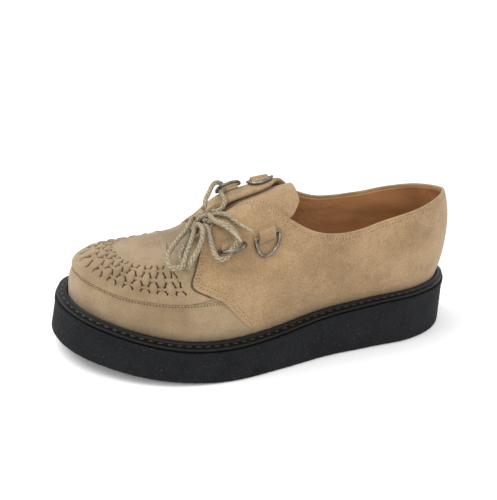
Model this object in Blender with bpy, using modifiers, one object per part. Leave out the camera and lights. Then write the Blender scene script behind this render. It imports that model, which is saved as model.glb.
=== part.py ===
"""Left shoe of a pair of suede derbies with an interlaced apron and a crepe wedge sole.

Metres, +Z up. The origin is on the floor under the middle of the sole's length.
The toe points to -Y, the heel to +Y, and the outer side of the foot is +X.
"""
import math

import bmesh
import bpy
import numpy as np

# Overall sizes of the sole and the last
SHOE_LENGTH = 0.298
BALL_WIDTH = 0.115
HEEL_STACK = 0.0369
TOE_SPRING = 0.0120
FLARE = 0.0052
INSTEP_RISE = 0.0830
LAST_SWELL = 0.0018
SHOULDER = 0.0098

# Sole and welt details
RIM_HEIGHT = 0.0034
RIM_STEP = 0.0006
EDGE_ROUND = 0.0016
WELT_WIDTH = 0.0086
WELT_THICKNESS = 0.0028
STORM_RIB_HEIGHT = 0.0050
STORM_RIB_WIDTH = 0.0030
FEATHER_RISE = 0.0047
INSOLE_THICKNESS = 0.0035

# Leather
VAMP_WALL = 0.0018
QUARTER_WALL = 0.0024
QUARTER_LIFT = 0.0034
APRON_THICKNESS = 0.0012
APRON_SEAT = 0.0010
STRIP_RISE = 0.0010
TONGUE_THICKNESS = 0.0022
TONGUE_CLEARANCE = 0.0014
TONGUE_SLACK = 0.0020
KEEPER_LEATHER = 0.0013
KEEPER_WIDTH = 0.0125

# Rings and lace
RING_WIDTH = 0.0205
RING_DROP = 0.0150
RING_WIRE = 0.0023
LACE = 0.0035
KNOT_RADIUS = 0.0060

# Distance kept between pieces that touch
GAP = 0.0003

# Top edge of the sole seen from above: share of the length from the heel,
# then the reach of the outer and the inner side as shares of BALL_WIDTH
OUTLINE = (
    (0.000, 0.000, 0.000),
    (0.015, 0.112, -0.140),
    (0.060, 0.238, -0.262),
    (0.140, 0.332, -0.322),
    (0.260, 0.370, -0.313),
    (0.380, 0.406, -0.308),
    (0.500, 0.479, -0.364),
    (0.620, 0.542, -0.435),
    (0.720, 0.540, -0.463),
    (0.810, 0.483, -0.458),
    (0.890, 0.373, -0.420),
    (0.950, 0.244, -0.348),
    (0.985, 0.105, -0.248),
    (1.000, -0.050, -0.050),
)

# Sole: share of the length, top height as a share of HEEL_STACK,
# width of the welt as a share of WELT_WIDTH, flare of the side as a share of FLARE
SOLE_ROWS = (
    (0.00, 1.000, 0.69, 0.37),
    (0.20, 0.932, 0.80, 0.60),
    (0.40, 0.767, 0.95, 0.90),
    (0.55, 0.600, 1.00, 1.00),
    (0.70, 0.580, 1.00, 1.00),
    (0.85, 0.756, 0.99, 0.98),
    (1.00, 1.003, 0.99, 0.94),
)
SPRING_START = 0.63
SPRING_CURVE = 1.4

# Last: share of the length, sideways place of the ridge as a share of BALL_WIDTH,
# rise of the ridge over the heel stack as a share of INSTEP_RISE,
# squareness of the section, swell of its sides as a share of LAST_SWELL,
# height of the inner side's shoulder as a share of SHOULDER
LAST_ROWS = (
    (0.00, 0.000, 1.019, 3.20, 1.42, 0.0),
    (0.12, 0.000, 1.037, 3.10, 1.37, 0.0),
    (0.25, 0.009, 1.049, 3.00, 1.00, 0.0),
    (0.36, 0.017, 1.010, 2.60, 1.00, 0.0),
    (0.46, 0.017, 0.930, 2.15, 1.00, 0.5),
    (0.54, 0.017, 0.835, 1.92, 0.80, 1.0),
    (0.61, 0.017, 0.735, 2.00, 1.00, 0.8),
    (0.67, 0.017, 0.545, 2.25, 1.00, 0.2),
    (0.75, 0.000, 0.412, 2.60, 0.89, 0.0),
    (0.86, -0.026, 0.388, 2.90, 0.22, 0.0),
    (1.00, -0.052, 0.333, 2.90, -0.28, 0.0),
)
SHOULDER_RISE = (0.20, 0.62, 1.00)
RIDGE_BACK = 0.10
RIDGE_FRONT = 0.84
RIDGE_EASE = 0.12
RIDGE_RATE = 1.10
RIDGE_OFFSET = -0.03
RIDGE_LIMIT = 0.96

# Top edge of the quarters: share along the side from heel to toe,
# then the rise on the outer and the inner side, as shares of the rib
TOPLINE = (
    (0.000, 0.496, 0.496),
    (0.080, 0.494, 0.470),
    (0.160, 0.457, 0.438),
    (0.250, 0.417, 0.416),
    (0.320, 0.393, 0.434),
    (0.354, 0.401, 0.462),
    (0.384, 0.427, 0.508),
    (0.414, 0.480, 0.580),
    (0.444, 0.567, 0.730),
    (0.472, 0.674, 0.925),
    (0.498, 0.830, 0.978),
    (0.523, 0.894, 0.982),
    (0.560, 0.902, 0.982),
    (0.595, 0.872, 0.965),
    (0.636, 0.780, 0.880),
)
THROAT = TOPLINE[-1][0]
THROAT_RISE = TOPLINE[-1][1]

# Front edge of the quarter: rise on the rib, then the share along the side
QUARTER_FRONT = (
    (0.000, 0.531),
    (0.115, 0.569),
    (0.257, 0.609),
    (0.323, 0.634),
    (0.406, 0.664),
    (0.529, 0.659),
    (0.613, 0.652),
    (0.728, 0.642),
    (0.780, 0.636),
)
OVERLAP_LINES = 2

# Edge of the apron: share along the side, then its rise on the rib
APRON_EDGE = (
    (0.580, 0.222, 0.235),
    (0.651, 0.288, 0.300),
    (0.730, 0.324, 0.332),
    (0.818, 0.344, 0.350),
    (0.886, 0.374, 0.378),
    (0.945, 0.388, 0.390),
    (1.000, 0.392, 0.392),
)


def smooth(rows, column, at, closed=False):
    """Value of one column of a table at a place, on a smooth curve through its rows."""
    table = np.asarray(rows, float)
    x = table[:, 0]
    y = table[:, column]
    step = np.diff(x)
    rise = np.diff(y) / step
    if closed:
        before = np.concatenate([rise[-1:], rise])
        after = np.concatenate([rise, rise[:1]])
        wide = np.concatenate([step[-1:], step])
        near = np.concatenate([step, step[:1]])
        slope = (before * near + after * wide) / (wide + near)
        at = x[0] + (np.asarray(at, float) - x[0]) % (x[-1] - x[0])
    else:
        inner = (rise[:-1] * step[1:] + rise[1:] * step[:-1]) / (step[1:] + step[:-1])
        slope = np.concatenate([[2 * rise[0] - inner[0]], inner, [2 * rise[-1] - inner[-1]]])
        at = np.clip(np.asarray(at, float), x[0], x[-1])
    row = np.clip(np.searchsorted(x, at, side="right") - 1, 0, len(x) - 2)
    size = step[row]
    part = (at - x[row]) / size
    rest = 1 - part
    return ((1 + 2 * part) * rest ** 2 * y[row] + part * rest ** 2 * size * slope[row]
            + part ** 2 * (3 - 2 * part) * y[row + 1] - part ** 2 * rest * size * slope[row + 1])


def ease(value, low, high):
    """0 below low, 1 above high, and a soft step between them."""
    part = np.clip((np.asarray(value, float) - low) / (high - low), 0, 1)
    return part * part * (3 - 2 * part)


def outline_side(side):
    """Dense line of the outline from heel to toe on one side, with shares and normals."""
    rows = np.asarray(OUTLINE)
    outer = np.column_stack([rows[:, 1] * BALL_WIDTH, (0.5 - rows[:, 0]) * SHOE_LENGTH])
    inner = np.column_stack([rows[:, 2] * BALL_WIDTH, (0.5 - rows[:, 0]) * SHOE_LENGTH])
    loop = np.vstack([outer, inner[-2::-1]])
    chord = np.sqrt(np.hypot(*np.diff(loop, axis=0).T))
    knots = np.concatenate([[0], np.cumsum(chord)])
    table = np.column_stack([knots, loop])
    toe = knots[len(rows) - 1]
    run = np.linspace(0, toe, 1201) if side > 0 else np.linspace(knots[-1], toe, 1201)
    line = np.column_stack([smooth(table, 1, run, True), smooth(table, 2, run, True)])
    if side < 0:
        line[0] = loop[0]
    share = np.concatenate([[0], np.cumsum(np.hypot(*np.diff(line, axis=0).T))])
    tangent = np.gradient(line, axis=0)
    normal = np.column_stack([-tangent[:, 1], tangent[:, 0]]) * side
    normal /= np.linalg.norm(normal, axis=1)[:, None]
    normal[0] = (0, 1)
    normal[-1] = normal[-2]
    return share / share[-1], line, normal


SIDE_LINES = {1: outline_side(1), -1: outline_side(-1)}
TOE_NORMAL = sum(SIDE_LINES[side][2][-1] for side in (1, -1)) / 2


def plan(side, share):
    """Point and outward normal of the outline, from above, at a share along one side."""
    shares, line, normal = SIDE_LINES[side]
    point = np.stack([np.interp(share, shares, line[:, axis]) for axis in (0, 1)], -1)
    out = np.stack([np.interp(share, shares, normal[:, axis]) for axis in (0, 1)], -1)
    at_toe = ease(share, 0.985, 1.0)[..., None]
    out = out * (1 - at_toe) + TOE_NORMAL * at_toe
    return point, out / np.linalg.norm(out, axis=-1, keepdims=True)


def along(y):
    """Share of the length from the heel."""
    return 0.5 - y / SHOE_LENGTH


def sole_top(y):
    return smooth(SOLE_ROWS, 1, along(y)) * HEEL_STACK


def sole_bottom(y):
    part = np.clip((along(y) - SPRING_START) / (1 - SPRING_START), 0, None)
    return TOE_SPRING * part ** SPRING_CURVE


def welt_width(y):
    return smooth(SOLE_ROWS, 2, along(y)) * WELT_WIDTH


def flare(y):
    return smooth(SOLE_ROWS, 3, along(y)) * FLARE


def feather(side, share):
    """Line where the upper meets the welt, and its outward normal from above."""
    point, out = plan(side, share)
    line = point - out * welt_width(point[..., 1])[..., None]
    height = sole_top(line[..., 1]) + FEATHER_RISE
    return np.concatenate([line, height[..., None]], -1), out


def ridge(share):
    """Point on the last's top line that the ribs of both sides run to."""
    both = (along(feather(1, share)[0][..., 1]) + along(feather(-1, share)[0][..., 1])) / 2
    free = RIDGE_RATE * share + RIDGE_OFFSET
    held = RIDGE_BACK + RIDGE_EASE * np.log1p(np.exp((free - RIDGE_BACK) / RIDGE_EASE))
    place = RIDGE_FRONT - RIDGE_EASE * np.log1p(np.exp((RIDGE_FRONT - held) / RIDGE_EASE))
    x = smooth(LAST_ROWS, 1, place) * BALL_WIDTH
    z = HEEL_STACK + smooth(LAST_ROWS, 2, place) * INSTEP_RISE
    return np.stack([x, (0.5 - place) * SHOE_LENGTH, z], -1), both


def last(side, share, rise):
    """Point of the last: share along the side, rise from the feather (0) to the ridge (1)."""
    share, rise = np.broadcast_arrays(np.asarray(share, float), np.asarray(rise, float))
    foot, out = feather(side, share)
    top, place = ridge(share)
    power = smooth(LAST_ROWS, 3, place)
    swell = smooth(LAST_ROWS, 4, place) * LAST_SWELL
    angle = rise * math.pi / 2
    reach = (np.abs(np.cos(angle)) ** power + np.abs(np.sin(angle)) ** power) ** (-1 / power)
    up = np.clip(reach * np.sin(angle), 0, 1)
    inward = 1 - reach * np.cos(angle)
    bulge = swell * np.sin(math.pi * up ** 0.75)
    flat = foot[..., :2] + (top[..., :2] - foot[..., :2]) * inward[..., None] + out * bulge[..., None]
    height = foot[..., 2] + (top[..., 2] - foot[..., 2]) * up
    if side < 0:
        low, middle, high = SHOULDER_RISE
        crest = ease(rise, low, middle) * (1 - ease(rise, middle, high))
        height = height + smooth(LAST_ROWS, 5, place) * SHOULDER * crest
    return np.concatenate([flat, height[..., None]], -1)


def last_normal(side, share, rise):
    """Outward normal of the last, read just below the ridge for points on it."""
    share, rise = np.broadcast_arrays(np.asarray(share, float), np.asarray(rise, float))
    rise = np.minimum(rise, RIDGE_LIMIT)
    step = 0.002
    run = last(side, np.clip(share + step, 0, 1), rise) - last(side, np.clip(share - step, 0, 1), rise)
    climb = last(side, share, np.clip(rise + step, 0, 1)) - last(side, share, np.clip(rise - step, 0, 1))
    normal = np.cross(climb, run) * side
    return normal / np.linalg.norm(normal, axis=-1, keepdims=True)


def skin(side, share, rise, height):
    """Point at a height over the last; both sides agree on the ridge, the heel and the toe line."""
    share, rise, height = np.broadcast_arrays(*(np.asarray(v, float) for v in (share, rise, height)))
    points = []
    for hand in (side, -side):
        points.append(last(hand, share, rise) + last_normal(hand, share, rise) * height[..., None])
    shared = ((rise > 0.9999) | (share > 0.9999) | (share < 0.0001))[..., None]
    return np.where(shared, (points[0] + points[1]) / 2, points[0])


def quarter_front(rise):
    return smooth(QUARTER_FRONT, 1, rise)


def topline(side, share):
    return smooth(TOPLINE, 1 if side > 0 else 2, share)


def quarter_height(share, rise):
    """How far the quarter's outer face stands off the last."""
    behind = ease(quarter_front(rise) - share, 0.02, 0.16)
    over_tongue = ease(rise, 0.50, 0.72)
    settled = 0.38 + 0.62 * np.maximum(1 - behind, over_tongue)
    return QUARTER_LIFT * ease(rise, 0, 0.42) ** 0.7 * settled


def new_collection(name):
    group = bpy.data.collections.new(name)
    bpy.context.scene.collection.children.link(group)
    return group


def make_material(name, colour, roughness, metallic=0.0):
    material = bpy.data.materials.new(name)
    material.use_nodes = True
    shader = material.node_tree.nodes["Principled BSDF"]
    shader.inputs["Base Color"].default_value = (*colour, 1)
    shader.inputs["Roughness"].default_value = roughness
    shader.inputs["Metallic"].default_value = metallic
    material.diffuse_color = (*colour, 1)
    return material


def add_object(name, data, material):
    data.materials.clear()
    data.materials.append(material)
    piece = bpy.data.objects.new(name, data)
    parts.objects.link(piece)
    return piece


class Skin:
    """Faces built from points, where points in one place are one vertex."""

    def __init__(self):
        self.mesh = bmesh.new()
        self.known = {}

    def vertex(self, point):
        key = tuple(round(float(value) * 1e7) for value in point)
        if key not in self.known:
            self.known[key] = self.mesh.verts.new([float(value) for value in point])
        return self.known[key]

    def face(self, *points):
        corners = []
        for point in points:
            corner = self.vertex(point)
            if corner not in corners:
                corners.append(corner)
        if len(corners) > 2:
            self.mesh.faces.new(corners)

    def strip(self, first, second):
        """Faces between two lines of points."""
        for index in range(len(first) - 1):
            self.face(first[index], first[index + 1], second[index + 1], second[index])

    def finish(self, name, material, recalculate=True):
        if recalculate:
            bmesh.ops.recalc_face_normals(self.mesh, faces=self.mesh.faces)
        data = bpy.data.meshes.new(name)
        self.mesh.to_mesh(data)
        self.mesh.free()
        data.shade_smooth()
        data.set_sharp_from_angle(angle=math.radians(40))
        return add_object(name, data, material)


END_DENSITY = 0.45


def around(count):
    """Side and share of each station of a closed loop, closer together at heel and toe."""
    steps = np.linspace(0, 1, count + 1)
    steps = steps - END_DENSITY * np.sin(2 * math.pi * steps) / (2 * math.pi)
    return [(1, share) for share in steps] + [(-1, share) for share in steps[-2:0:-1]]


def loop_points(count, place):
    """A closed loop of points, from place(point, out, y) at each station."""
    points = []
    for side, share in around(count):
        point, out = plan(side, np.array(share))
        points.append(place(point, out))
    return points


def close_across(skin_mesh, loop):
    """Fill a closed loop with strips that run across the shoe."""
    half = len(loop) // 2
    for index in range(half):
        left = (loop[index], loop[index + 1])
        right = (loop[-index % len(loop)], loop[(-index - 1) % len(loop)])
        skin_mesh.face(left[0], left[1], right[1], right[0])


SOLE_STATIONS = 30


def build_outsole():
    """Crepe wedge: flat tread, toe spring, flared side with a smooth rim along its top."""
    def ring(below, out_by, from_bottom=False):
        def place(point, out):
            top = float(sole_top(point[1]))
            bottom = float(sole_bottom(point[1]))
            height = bottom + below if from_bottom else top - below
            share = (top - height) / (top - bottom)
            xy = point + out * (float(flare(point[1])) * share + out_by)
            return (*xy, height)
        return loop_points(SOLE_STATIONS, place)

    rings = [
        ring(0, -EDGE_ROUND, True),
        ring(EDGE_ROUND, 0, True),
        ring(RIM_HEIGHT, 0),
        ring(RIM_HEIGHT - RIM_STEP, RIM_STEP),
        ring(RIM_STEP, RIM_STEP),
        ring(0, 0),
    ]
    shell = Skin()
    for low, high in zip(rings, rings[1:]):
        shell.strip(low + low[:1], high + high[:1])
    close_across(shell, rings[0])
    close_across(shell, rings[-1])
    return shell.finish("outsole", crepe)


def build_welt():
    """Strip around the upper, with the raised rib that closes the joint to it."""
    def ring(inward, rise, from_inside=False):
        def place(point, out):
            width = float(welt_width(point[1]))
            back = width - inward if from_inside else inward
            xy = point - out * back
            return (*xy, float(sole_top(xy[1])) + rise)
        return loop_points(SOLE_STATIONS + 5, place)

    shoulder = STORM_RIB_WIDTH / 4
    clear = 1.5 * GAP
    rings = [
        ring(RIM_STEP, GAP),
        ring(RIM_STEP, WELT_THICKNESS - RIM_STEP),
        ring(2 * RIM_STEP, WELT_THICKNESS),
        ring(STORM_RIB_WIDTH + GAP, WELT_THICKNESS, True),
        ring(STORM_RIB_WIDTH - shoulder, STORM_RIB_HEIGHT - RIM_STEP, True),
        ring(shoulder + clear, STORM_RIB_HEIGHT - RIM_STEP / 2, True),
        ring(clear, STORM_RIB_HEIGHT - 2 * RIM_STEP, True),
        ring(clear, GAP, True),
    ]
    shell = Skin()
    for low, high in zip(rings, rings[1:] + rings[:1]):
        shell.strip(low + low[:1], high + high[:1])
    return shell.finish("welt", welt_rubber)


def build_insole():
    """Board that fills the upper's open underside, on top of the sole."""
    inset = QUARTER_WALL + 3 * GAP

    def ring(rise):
        def place(point, out):
            xy = point - out * (float(welt_width(point[1])) + inset)
            return (*xy, float(sole_top(xy[1])) + rise)
        return loop_points(SOLE_STATIONS - 4, place)

    low = ring(GAP)
    high = ring(INSOLE_THICKNESS)
    shell = Skin()
    shell.strip(low + low[:1], high + high[:1])
    close_across(shell, low)
    close_across(shell, high)
    return shell.finish("insole", insole_leather)


# Lines of the quarter from heel to front edge and of the vamp from there to the toe,
# as shares of the way, and the bands between feather and top
QUARTER_SHARES = (0.0, 0.03, 0.08, 0.14, 0.21, 0.29, 0.37, 0.45, 0.53, 0.59, 0.64,
                  0.68, 0.71, 0.74, 0.77, 0.80, 0.84, 0.89, 0.94, 1.0)
VAMP_SHARES = (0.0, 0.10, 0.17, 0.24, 0.32, 0.41, 0.51, 0.61, 0.71, 0.80, 0.88, 0.93, 0.97, 1.0)
QUARTER_LINES = len(QUARTER_SHARES) - 1
VAMP_LINES = len(VAMP_SHARES) - 1
BAND_SHARES = (0.0, 0.06, 0.14, 0.23, 0.32, 0.42, 0.5205, 0.62, 0.73, 0.85, 0.93, 1.0)


def upper_line(side, line):
    """Shares and rises of one line from feather to top; lines bend to follow the quarter's front."""
    bands = np.array(BAND_SHARES)
    front = quarter_front(bands * THROAT_RISE)
    if line <= QUARTER_LINES:
        share = front * QUARTER_SHARES[line]
        rise = bands * float(topline(side, share[-1]))
    else:
        share = front + (1 - front) * VAMP_SHARES[line - QUARTER_LINES]
        rise = bands
    return share, rise


def upper_faces(side, line, quarter):
    """Outer and inner points of one line, from the sole up, on the quarter's or the vamp's level."""
    share, rise = upper_line(side, line)
    lift = quarter_height(share, rise) if quarter else np.zeros(len(share))
    if quarter and line <= QUARTER_LINES - OVERLAP_LINES:
        inner_height = lift - QUARTER_WALL
    else:
        inner_height = np.full(len(share), -VAMP_WALL)
    outer = skin(side, share, rise, lift)
    inner = skin(side, share, rise, inner_height)
    _, out = plan(side, share[:1])
    foot = outer[0].copy()
    foot[2] = sole_top(foot[1]) + GAP
    seat = foot.copy()
    seat[:2] += out[0] * inner_height[0]
    inner[0] = seat + (0, 0, FEATHER_RISE - GAP)
    return np.vstack([foot, outer]), np.vstack([seat, inner])


def build_upper():
    """Vamp and quarters in one hollow wall, open at the collar, the throat and underneath."""
    shell = Skin()
    last_line = QUARTER_LINES + VAMP_LINES
    for side in (1, -1):
        quarter = [upper_faces(side, line, True) for line in range(QUARTER_LINES + 1)]
        vamp = [upper_faces(side, line, False) for line in range(QUARTER_LINES, last_line + 1)]
        vamp[0] = (vamp[0][0], quarter[-1][1])
        for lines in (quarter, vamp):
            for back, front in zip(lines, lines[1:]):
                shell.strip(back[0], front[0])
                shell.strip(back[1], front[1])
                shell.face(back[0][0], front[0][0], front[1][0], back[1][0])
        for back, front in zip(quarter, quarter[1:-1]):
            shell.face(back[0][-1], front[0][-1], front[1][-1], back[1][-1])
        back = quarter[-2]
        seam_top = vamp[0][0][-1]
        shell.face(back[0][-1], quarter[-1][0][-1], seam_top, quarter[-1][1][-1], back[1][-1])
        shell.strip(quarter[-1][0], vamp[0][0])
        shell.face(seam_top, vamp[1][0][-1], vamp[1][1][-1], vamp[0][1][-1])
    return shell.finish("upper", suede)


def sheet(name, grid, thickness, material):
    """Open sheet of points, outer face up, given thickness on its inner side."""
    shell = Skin()
    for row, following in zip(grid, grid[1:]):
        shell.strip(row, following)
    piece = shell.finish(name, material, recalculate=False)
    solid = piece.modifiers.new("thickness", "SOLIDIFY")
    solid.thickness = thickness
    solid.offset = -1
    return piece


# Tongue: share along the side, then the rise on the rib where its side edge lies
TONGUE_EDGE = (
    (0.428, 0.720),
    (0.440, 0.650),
    (0.480, 0.620),
    (0.540, 0.640),
    (0.600, 0.700),
    (0.690, 0.800),
)
TONGUE_DIVE = (0.545, 0.600)


def tongue_height(side, share, rise):
    """Tongue's top face: just under the facings, and under the vamp in front of them."""
    slack = TONGUE_SLACK * ease(1 - rise, 0, 0.25) if side < 0 else 0
    under_facing = quarter_height(share, rise) - QUARTER_WALL - slack
    dive = ease(share, *TONGUE_DIVE)
    return under_facing * (1 - dive) - VAMP_WALL * dive - TONGUE_CLEARANCE


def build_tongue():
    """Tongue from under the vamp, below both facings, to its round tip in the collar."""
    grid = []
    for share in np.linspace(TONGUE_EDGE[0][0], TONGUE_EDGE[-1][0], 13):
        edge = float(smooth(TONGUE_EDGE, 1, share))
        rises = np.linspace(edge, 1, 6)
        outer = [skin(1, share, rise, tongue_height(1, share, rise)) for rise in rises]
        inner = [skin(-1, share, rise, tongue_height(-1, share, rise)) for rise in rises[-2::-1]]
        grid.append(outer + inner)
    return sheet("tongue", grid, TONGUE_THICKNESS, tongue_leather)


# Apron: columns of strips and slits around its edge, and rows from its edge to the ridge
APRON_STRIPS = 18
APRON_START = 0.712
APRON_ROWS = (0.0, 0.10, 0.22, 0.33, 0.44, 0.55, 0.66, 0.76, 1.0)
WEAVE_ROWS = (2, 4, 6)
APRON_MARGIN = {1: 0.005, -1: 0.020}
RIDGE_COLUMNS = 4
APRON_TIP = 0.056
APRON_BLEND = 0.08
APRON_CORNER = 0.612


def apron_back(side, rise):
    """Share where the apron ends, just in front of the quarters and the throat."""
    at_throat = ease(rise, THROAT_RISE - APRON_BLEND, 1)
    margin = APRON_MARGIN[side] * (1 - at_throat) + APRON_TIP * at_throat
    return quarter_front(np.minimum(rise, THROAT_RISE)) + margin


def column_share(column):
    return APRON_START + (1 - APRON_START) * column / (2 * APRON_STRIPS)


def apron_edge(side, share):
    return float(smooth(APRON_EDGE, 1 if side > 0 else 2, share))


def strip_height(column, row):
    """Rise of the weave at a crest (even) or slit (odd) column: strips pass over and under by turns."""
    if column % 2 or row not in WEAVE_ROWS:
        return 0.0
    return STRIP_RISE if (column // 2 + row // 2) % 2 == 0 else 0.0


def build_apron():
    """Top of the vamp in one wall: plain border, three rows of interlaced strips, plain middle.

    Column 0 is the first slit; the two columns behind it carry the wall back to the quarters.
    """
    base = APRON_SEAT + APRON_THICKNESS
    grid = []
    for column in range(-2, 2 * APRON_STRIPS + 1):
        behind = max(-column, 0) / 2
        halves = []
        for side in (1, -1):
            half = []
            edge = apron_edge(side, column_share(max(column, 0)) * (1 - behind) + APRON_CORNER * behind)
            for row, part in enumerate(APRON_ROWS):
                rise = edge + (1 - edge) * part
                share = column_share(max(column, 0))
                if part == 1:
                    share = column_share(RIDGE_COLUMNS * round(max(column, 0) / RIDGE_COLUMNS))
                share = share * (1 - behind) + float(apron_back(side, rise)) * behind
                height = base + (strip_height(column, row) if column >= 0 else 0)
                half.append(skin(side, share, rise, height))
            halves.append(half)
        grid.append(halves[0] + halves[1][-2::-1])
    return sheet("apron", grid, APRON_THICKNESS, suede)


# Keepers: name, side, then share and rise of each one's ring bar on the quarter,
# and the angle in degrees that its ring is swung up from hanging
KEEPERS = (
    ("outer_front", 1, 0.588, 0.562, 62),
    ("outer_rear", 1, 0.508, 0.563, 0),
    ("inner_front", -1, 0.560, 0.720, 158),
    ("inner_rear", -1, 0.490, 0.720, 180),
)
BAR_HEIGHT = RING_WIRE / 2 + GAP
# Profile of a keeper over the bar: place up the quarter, then height of its outer face,
# both from the bar's centre as shares of the wire
KEEPER_PROFILE = (
    (2.60, 0.06),
    (1.80, 0.06),
    (1.26, 0.44),
    (0.70, 1.04),
    (0.00, 1.28),
    (-0.70, 1.04),
    (-1.26, 0.44),
    (-1.75, 0.06),
)


def on_quarter(side, share, rise, forward, up, out):
    """Point on the quarter, measured in metres from a place on it: to the toe, up and outwards."""
    step = 0.004

    def face(at_share, at_rise):
        return skin(side, at_share, at_rise, quarter_height(at_share, at_rise))

    per_share = np.linalg.norm(face(share + step, rise) - face(share - step, rise)) / (2 * step)
    per_rise = np.linalg.norm(face(share, rise + step) - face(share, rise - step)) / (2 * step)
    at_share = share + forward / per_share
    at_rise = min(rise + up / per_rise, 1.0)
    return skin(side, at_share, at_rise, quarter_height(at_share, at_rise) + out)


def build_keeper(name, side, share, rise):
    """Small loop of suede that bends over the straight bar of a ring."""
    grid = []
    for up, height in KEEPER_PROFILE:
        row = []
        for across in (-0.5, 0, 0.5):
            out = BAR_HEIGHT + height * RING_WIRE
            row.append(on_quarter(side, share, rise, across * KEEPER_WIDTH, up * RING_WIRE, out))
        grid.append(row if side > 0 else row[::-1])
    return sheet("lace_keeper_" + name, grid, KEEPER_LEATHER, suede)


def ring_outline():
    """Flat D: places along the bar and away from it."""
    half = (RING_WIDTH - RING_WIRE) / 2
    drop = RING_DROP - RING_WIRE
    bow = np.linspace(0, math.pi, 13)
    line = [(half * math.cos(a), drop * math.sin(a) ** 0.8) for a in bow]
    bar = [(half * x, 0.0) for x in (-0.55, 0.0, 0.55)]
    return line + bar


def build_ring(name, side, share, rise, swing):
    """D-ring of round wire: it hangs along the quarter, or is swung up about its bar."""
    turn = math.radians(swing)
    start = on_quarter(side, share, rise, 0, 0, BAR_HEIGHT)
    forward = on_quarter(side, share, rise, 0.004, 0, BAR_HEIGHT) - start
    up = on_quarter(side, share, rise, 0, 0.004, BAR_HEIGHT) - start
    forward /= np.linalg.norm(forward)
    up -= forward * up.dot(forward)
    up /= np.linalg.norm(up)
    out = on_quarter(side, share, rise, 0, 0, 2 * BAR_HEIGHT) - start
    out /= np.linalg.norm(out)
    points = []
    for along_bar, away in ring_outline():
        if swing % 180 == 0:
            reach = -away if swing == 0 else away
            points.append(on_quarter(side, share, rise, along_bar, reach, BAR_HEIGHT))
        else:
            bow = out * math.sin(turn) - up * math.cos(turn)
            points.append(start + forward * along_bar + bow * away)
    return wire("d_ring_" + name, points, RING_WIRE, nickel, True)


# Lace: the spacing of its points as a share of its diameter
BRIDLE_STEP = 1.0
CORD_STEP = 1.7
# Middles of the two front bars, outer and inner, for which the lace's points are given; then
# the points in millimetres that each piece runs through. The bridles carry the bow, and the
# loops and ends hang from the knot
FRONT_BARS = ((39.144, -35.099, 85.973), (-17.538, -24.916, 106.916))
BRIDLES = {
    "lace_bridle_outer": (
        (15.4, -49.0, 92.0),
        (23.5, -47.7, 93.7),
        (32.0, -48.1, 90.9),
        (41.0, -48.2, 87.7),
        (46.5, -47.5, 84.5),
        (50.0, -45.4, 82.8),
        (48.2, -40.2, 83.2),
        (45.6, -36.6, 87.0),
        (43.5, -33.6, 89.2),
        (42.0, -32.1, 93.1),
        (37.0, -34.0, 96.7),
        (31.0, -36.6, 97.9),
        (24.5, -40.6, 97.7),
        (16.0, -45.4, 94.6),
    ),
    "lace_bridle_inner": (
        (7.2, -42.2, 98.9),
        (6.5, -35.2, 100.2),
        (2.5, -31.6, 104.0),
        (-3.6, -31.8, 105.8),
        (-9.2, -31.9, 106.9),
        (-10.8, -30.2, 107.7),
        (-13.0, -29.5, 109.4),
        (-14.1, -31.2, 111.6),
        (-13.4, -34.0, 112.7),
        (-5.0, -42.1, 107.0),
        (0.0, -44.9, 104.9),
        (4.5, -46.4, 102.2),
        (6.6, -47.8, 101.4),
    ),
}
HANGING_CORDS = {
    "lace_loop_front": (
        (4.0, -54.6, 94.4),
        (14.0, -60.8, 89.1),
        (24.0, -68.9, 85.2),
        (38.0, -76.6, 80.1),
        (44.5, -75.0, 76.4),
        (45.5, -70.0, 76.8),
        (39.0, -64.4, 84.4),
        (31.0, -60.1, 88.6),
        (10.2, -54.8, 88.4),
    ),
    "lace_loop_rear": (
        (15.4, -53.0, 93.4),
        (36.0, -54.0, 91.6),
        (41.0, -58.1, 85.2),
        (46.0, -63.3, 79.8),
        (44.5, -63.7, 76.6),
        (40.0, -66.5, 75.0),
        (35.0, -68.0, 77.8),
        (25.5, -64.4, 81.9),
        (14.5, -58.2, 84.2),
        (8.0, -57.6, 86.2),
    ),
    "lace_end_long": (
        (11.4, -42.2, 97.6),
        (17.5, -37.0, 100.8),
        (23.0, -32.8, 100.6),
        (30.0, -29.0, 98.4),
        (34.0, -24.5, 96.7),
        (37.0, -19.5, 94.4),
    ),
    "lace_end_short": (
        (14.0, -44.6, 99.4),
        (31.5, -43.3, 101.0),
        (39.0, -39.3, 100.8),
        (43.0, -35.9, 98.5),
        (49.0, -31.1, 93.4),
    ),
}
# Knot: its centre and axis, then places along the axis and radii as shares of KNOT_RADIUS
KNOT_CENTRE = (8.0, -47.4, 94.0)
KNOT_AXIS = (0.84, 0.00, -0.54)
KNOT_SIDES = 12
KNOT_PROFILE = (
    (-0.95, 0.27),
    (-0.76, 0.64),
    (-0.42, 0.89),
    (0.00, 0.78),
    (0.42, 0.89),
    (0.76, 0.64),
    (0.95, 0.27),
)


def with_rings(points):
    """Places in metres, each moved with the front ring that it lies nearer to across the shoe."""
    places = np.asarray(points, float) / 1000
    drawn = np.array(FRONT_BARS) / 1000
    fronts = [row for row in KEEPERS if row[0].endswith("front")]
    outer, inner = (on_quarter(hand, share, rise, 0, 0, BAR_HEIGHT) - start
                    for (_, hand, share, rise, _), start in zip(fronts, drawn))
    nearness = (places[..., :1] - drawn[1, 0]) / (drawn[0, 0] - drawn[1, 0])
    nearness = np.clip(nearness, 0, 1)
    return places + outer * nearness + inner * (1 - nearness)


def route(points, step):
    """Evenly spaced points on a smooth curve through the given places."""
    through = with_rings(points)
    run = np.concatenate([[0], np.cumsum(np.linalg.norm(np.diff(through, axis=0), axis=1))])
    table = np.column_stack([run, through])
    count = round(run[-1] / (step * LACE))
    places = np.linspace(0, run[-1], count + 1)
    return np.column_stack([smooth(table, axis, places) for axis in (1, 2, 3)])


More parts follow.
